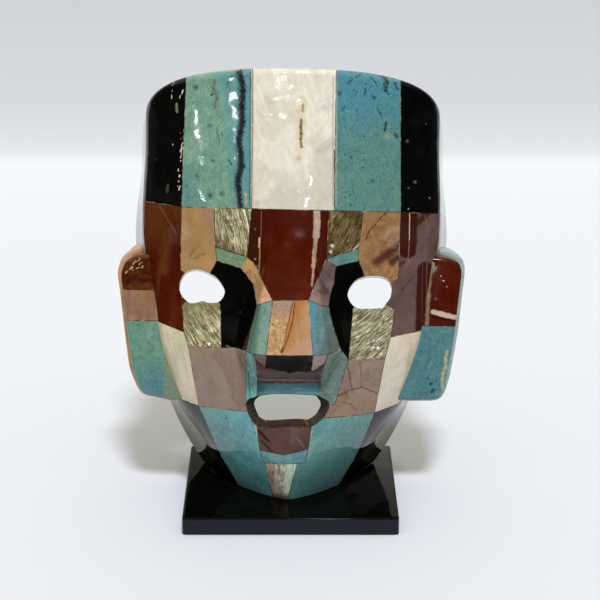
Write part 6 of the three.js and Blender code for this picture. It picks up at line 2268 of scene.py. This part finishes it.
# Greyer and bluer than the top: a painted sheen on the sawn sides
RECIPES["plinth_side_sheen"] = black_stone(
    tones=((9, 12, 17), (12, 16, 22), (17, 21, 28)),
    **CALM_LACQUER,
    specular=0.25,
    rough=(0.1, 0.2),
)
RECIPES["filed_wall"] = slab(
    ((22, 18, 12), (42, 34, 24), (64, 54, 38), (96, 80, 56)),
    (1.8, 1.4, 3.2),
    ("clouds", (4, 1.4, 4), (48, 60, 44), 0.6),
    *trail(
        [(-12.7, 28.9), (-7.4, 27.9), (-1.2, 28.9), (4, 29.4), (8.9, 28.5)],
        1.7, (50, 20, 9), 0.9, 0.8, 1.6, 1.2,
    ),
    mark((-0.4, 30.1), (5.4, 30.5), 0.6, (94, 76, 62), 0.8, 0.8, 1.4, 1),
    mark((-12.3, 29.4), (-10, 28.6), 0.5, (112, 72, 38), 0.8, 0.8, 1.4, 1),
    mark((6.2, 29.9), (8.5, 28.5), 0.5, (108, 84, 48), 0.8, 0.8, 1.4, 1),
    ("flecks", (1.3, 0.3, 0.5, 0.6), (120, 96, 62), 0.6),
    grain=(0.8, 0.5),
    specular=0.12,
    rough=(0.5, 0.8),
    lacquer=(0.1, 0.05, 0.3),
)
print(len(RECIPES), "recipes in all")

# %% [markdown]
# ## The glue
# The slabs are joined with a resin that has yellowed and picked up polishing dust, so a seam is seldom
# one colour: it's dark brown in places and cream or olive in others. It shows as a thin line on both
# sides of each crack, and on the hidden walls between the stones.

# %% Glue material
GLUE_TONES = ((0.35, (30, 20, 14)), (0.55, (74, 56, 38)), (0.7, (140, 126, 92)), (0.9, (186, 168, 134)))
GLUE_PATCHES = {"Size": 7.0, "Warp": 1.5, "Contrast": 3.0}
GLUE_ROUGH = 0.3

glue = bpy.data.materials.new("glue")
glue.use_nodes = True
tree = glue.node_tree
shader = tree.nodes["Principled BSDF"]
place = mask_place(tree)
patches = use(tree, CLOUDS, Vector=place, **GLUE_PATCHES)
tone = ramp(tree, patches, *[(where, paint(*tint)) for where, tint in GLUE_TONES])
tree.links.new(tone, shader.inputs["Base Color"])
shader.inputs["Roughness"].default_value = GLUE_ROUGH
print("glue:", len(GLUE_TONES), "tones")

# %% [markdown]
# ## Stones of the head
# Each stone becomes one piece. Its first material is its own stone, and the second is the glue along its
# seams. The stones round the mouth have a third one, the filed wall of the opening. A stone's front skin,
# rim and saw cuts are one solid, so nothing has to be joined afterwards.

# %% Head stones
MAKERS = (
    (FRONT_STONES, face_stone),
    (LOW_STONES, whole_stone),
    (REAR_STONES, rear_stone),
)
filed = stone_material("filed_wall", RECIPES["filed_wall"])


def placed(piece, node):
    """Hangs a piece under the root body and hides the solid that it stands for."""
    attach(piece, "root")
    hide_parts(node)
    return piece


for stones, maker in MAKERS:
    for node, kind, corners in stones:
        materials = [stone_material(node, RECIPES[node]), glue, filed]
        placed(maker(node + "_stone", corners, materials), node)
    print(len(stones), "stones made")

# %% [markdown]
# ## Ears
# An ear is a flat plate stuck to the head's side: a front layer of two or three slabs with its outer edge
# ground round, and one bigger slab behind that stands out past it. The plate is drawn as an outline,
# given its thickness, bevelled round the free edge and sawn across at the seams. Its inner side is then
# slid onto the head's slanting wall.

# %% Outlines of the ears
EAR_DEPTHS = (8, 19.85, 20.15, 30.5)  # the rear slab's back and front, then the front slabs' back and front
EAR_SIDES = {
    "left": (
        (-65.3, 100.1), (-70.4, 99.2), (-74.6, 96.2), (-76.4, 90.5), (-75.2, 82), (-73.3, 66),
        (-71.2, 49), (-69.7, 43.8), (-66.1, 36.2), (-60.1, 35.2), (-53.5, 33.8),
    ),
    "right": (
        (67.2, 100.5), (71.4, 99.9), (75.5, 98), (76.9, 94), (75.6, 81), (74.4, 67), (72.8, 55.3),
        (71, 44.9), (69.2, 38.4), (67.3, 35.4), (56.5, 35.2),
    ),
}  # fmt: skip
EAR_SLABS = {  # name, kind of stone, and the heights of the seams below and above
    "left": (("ear_teal", "teal", 0, 70), ("ear_tan", "tan", 70, 83.9), ("ear_red", "red", 83.9, 120)),
    "right": (("ear_teal", "blue_teal", 0, 69.4), ("ear_red", "red", 69.4, 120)),
}
print("ears:", sum(len(slabs) + 1 for slabs in EAR_SLABS.values()), "slabs")

# %% Head's side
ROLL_STEPS = 13
WALL_STEP_UP = 2.0  # steps of the table of the head's side, in height and in depth
WALL_STEP_IN = 0.5
LAST_STEP = 1.001  # keeps a look-up just inside the table's last step


def side_profile(z):
    """Half the head's width and its depth, from the rear rim round the rolled edge onto the face."""
    half_rear, half_front, corner = (float(section(z, key)) for key in ("half_rear", "half_front", "corner"))
    slant = (half_rear - half_front) / corner
    radius = float(edge_radius(half_front))
    turns = np.linspace(0, math.pi / 2, ROLL_STEPS)
    drop = radius * (1 - np.sin(turns))
    x = half_front - radius * (1 - np.cos(turns)) + slant * drop
    depth = face_depth(x, np.full_like(x, z)) - drop
    return np.r_[half_rear, x], np.r_[0, depth]


WALL_HEIGHTS = np.arange(30, 104, WALL_STEP_UP)
WALL_DEPTHS = np.linspace(0, 31, 63)
WALL_TABLE = np.array([np.interp(WALL_DEPTHS, *side_profile(z)[::-1]) for z in WALL_HEIGHTS])


def wall_at(z, depth):
    """Half the head's width at a height and a depth."""
    row = np.clip((z - WALL_HEIGHTS[0]) / WALL_STEP_UP, 0, len(WALL_HEIGHTS) - LAST_STEP)
    column = np.clip(depth / WALL_STEP_IN, 0, len(WALL_DEPTHS) - LAST_STEP)
    i, j = np.floor(row).astype(int), np.floor(column).astype(int)
    u, v = row - i, column - j
    near = WALL_TABLE[i, j] * (1 - v) + WALL_TABLE[i, j + 1] * v
    far = WALL_TABLE[i + 1, j] * (1 - v) + WALL_TABLE[i + 1, j + 1] * v
    return near * (1 - u) + far * u


print("half the head's width at the ears:", wall_at(np.array([60.0]), np.array([20.0])).round(1)[0], "mm")

# %% An ear's plate
EAR_GAP = 0.1  # between an ear and the head
CLEAR = 0.2  # points of the outline nearer to the head than this are left to its inner side
EAR_CORNER_SHARE = 0.18  # of each side is cut off to soften a corner, in every round
EAR_ROUNDS = 2
INNER_STEPS = 24
EAR_ROUND_STEPS = 4
SLICE = 2  # millimetres of depth between the cuts that let a plate follow the head
SLIDES_WITHIN = 6  # of the head, and what lies further out stays


def smooth_run(points):
    """Rounds an open line's corners and keeps its ends."""
    line = np.array(points, float)
    keep = 1 - EAR_CORNER_SHARE
    for _ in range(EAR_ROUNDS):
        here, ahead = line[:-1], line[1:]
        pairs = [keep * here + EAR_CORNER_SHARE * ahead, EAR_CORNER_SHARE * here + keep * ahead]
        line = np.concatenate([line[:1], np.stack(pairs, 1).reshape(-1, 2), line[-1:]])
    return line


def ear_plate(side_line, front, back, proud, rounding):
    """One ear's outline at the head's side, extruded between two depths, in the mask's frame."""
    free = smooth_run(side_line)
    sign = math.copysign(1, free[0, 0])
    along = np.gradient(free, axis=0)
    along /= np.linalg.norm(along, axis=1)[:, None]
    free += np.stack([-along[:, 1], along[:, 0]], 1) * proud * sign
    heights = np.linspace(free[-1, 1], free[0, 1], INNER_STEPS)
    inner = np.stack([sign * (wall_at(heights, front) + EAR_GAP), heights], 1)
    free = free[np.abs(free[:, 0]) > wall_at(free[:, 1], front) + EAR_GAP + CLEAR]
    bm = bmesh.new()
    corners = [bm.verts.new((x, -back, z)) for x, z in np.concatenate([free, inner])]
    bm.faces.new(corners)
    bmesh.ops.recalc_face_normals(bm, faces=bm.faces[:])
    made = bmesh.ops.extrude_face_region(bm, geom=bm.faces[:], use_keep_orig=True)
    skin = [item for item in made["geom"] if isinstance(item, bmesh.types.BMVert)]
    bmesh.ops.translate(bm, vec=(0, back - front, 0), verts=skin)
    broken(bm, free_edges(bm, skin, front), rounding, EAR_ROUND_STEPS)
    for depth in np.arange(math.ceil(back) + 1, front, SLICE):
        split(bm, (0, -depth, 0), FORWARDS)
    for corner in bm.verts:
        x, depth, z = corner.co.x, -corner.co.y, corner.co.z
        slid = max(0, 1 - (abs(x) - wall_at(z, front)) / SLIDES_WITHIN)
        corner.co.x = x + sign * slid * (wall_at(z, depth) - wall_at(z, front))
    return bm


def free_edges(bm, skin, front):
    """The edges of the front skin that don't touch the head."""
    found = []
    for edge in bm.edges:
        furthest = max(abs(c.co.x) - wall_at(c.co.z, front) for c in edge.verts)
        if all(corner in skin for corner in edge.verts) and furthest > EAR_GAP + CLEAR / 2:
            found.append(edge)
    return found


def broken(bm, edges, width, segments):
    """Takes the sharpness off some edges."""
    shape = {"offset": width, "segments": segments, "profile": 0.5, "affect": "EDGES"}
    bmesh.ops.bevel(bm, geom=edges, **shape, material=-1, clamp_overlap=True)


print("ear plates are", EAR_GAP, "mm off the head")

# %% Slabs of the ears
REAR_PROUD = 2.2  # how far the rear slab stands out past the front ones
EAR_ROUND = 2.6
REAR_EAR_ROUND = 1.2


def seam_cut(bm, height, upwards):
    """Ends a slab at a seam and leaves a band of glue beside it."""
    direction = Vector((0, 0, 1 if upwards else -1))
    cut_off(bm, (0, 0, height - direction.z * GAP), direction, GLUE_SLOT)
    glue_edge = height - direction.z * (GAP + GLUE)
    split(bm, (0, 0, glue_edge), direction)
    for face in bm.faces:
        if (face.calc_center_median().z - glue_edge) * direction.z > 0:
            face.material_index = GLUE_SLOT


def ear_slab(label, side, bm):
    node = label + "_" + side
    placed(finished(node + "_stone", bm, [stone_material(node, RECIPES[node]), glue]), node)


for side, side_line in EAR_SIDES.items():
    rear_back, rear_front, back, front = EAR_DEPTHS
    for label, kind, low, high in EAR_SLABS[side]:
        bm = ear_plate(side_line, front, back, 0, EAR_ROUND)
        if low:
            seam_cut(bm, low, False)
        if high < side_line[0][1]:
            seam_cut(bm, high, True)
        ear_slab(label, side, bm)
    bm = ear_plate(side_line, rear_front, rear_back, REAR_PROUD, REAR_EAR_ROUND)
    ear_slab("ear_rear", side, bm)
    print(side, "ear done")

# %% [markdown]
# ## The plinth
# A square slab of the same black stone with its corners and edges barely broken. Its top is deep black; its
# sawn sides are rougher and get a greyer, bluer copy of the material that paints the sheen they show, so the
# faces get one of two materials by their slope.

# %% Plinth
PLINTH_SIDE = 95 * MM
PLINTH_THICK = 8 * MM
CORNER_ROUND = 1.6 * MM
EDGE_ROUND = 0.8 * MM
FOOT_ROUND = 0.4 * MM
ROUND_STEPS = 3
LEVEL_ENOUGH = 0.7

block = bmesh.new()
size = Matrix.Diagonal((PLINTH_SIDE, PLINTH_SIDE, PLINTH_THICK, 1))
bmesh.ops.create_cube(block, size=1, matrix=Matrix.Translation((0, 0, PLINTH_THICK / 2)) @ size)
upright = [edge for edge in block.edges if abs(edge.verts[0].co.z - edge.verts[1].co.z) > MM]
broken(block, upright, CORNER_ROUND, ROUND_STEPS)
for level, rounding in ((PLINTH_THICK, EDGE_ROUND), (0, FOOT_ROUND)):
    ring = [edge for edge in block.edges if all(abs(c.co.z - level) < MM / 10 for c in edge.verts)]
    broken(block, ring, rounding, ROUND_STEPS)
for face in block.faces:
    face.material_index = 0 if face.normal.z > LEVEL_ENOUGH else 1
stones = [stone_material(name, RECIPES[name]) for name in ("plinth", "plinth_side_sheen")]
plinth = placed(piece_of("plinth_slab", block, stones), "plinth")
print("plinth:", len(plinth.data.polygons), "faces")

# %% The model's size
low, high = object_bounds()
print("the model measures", [round(v, 4) for v in high - low], "m")
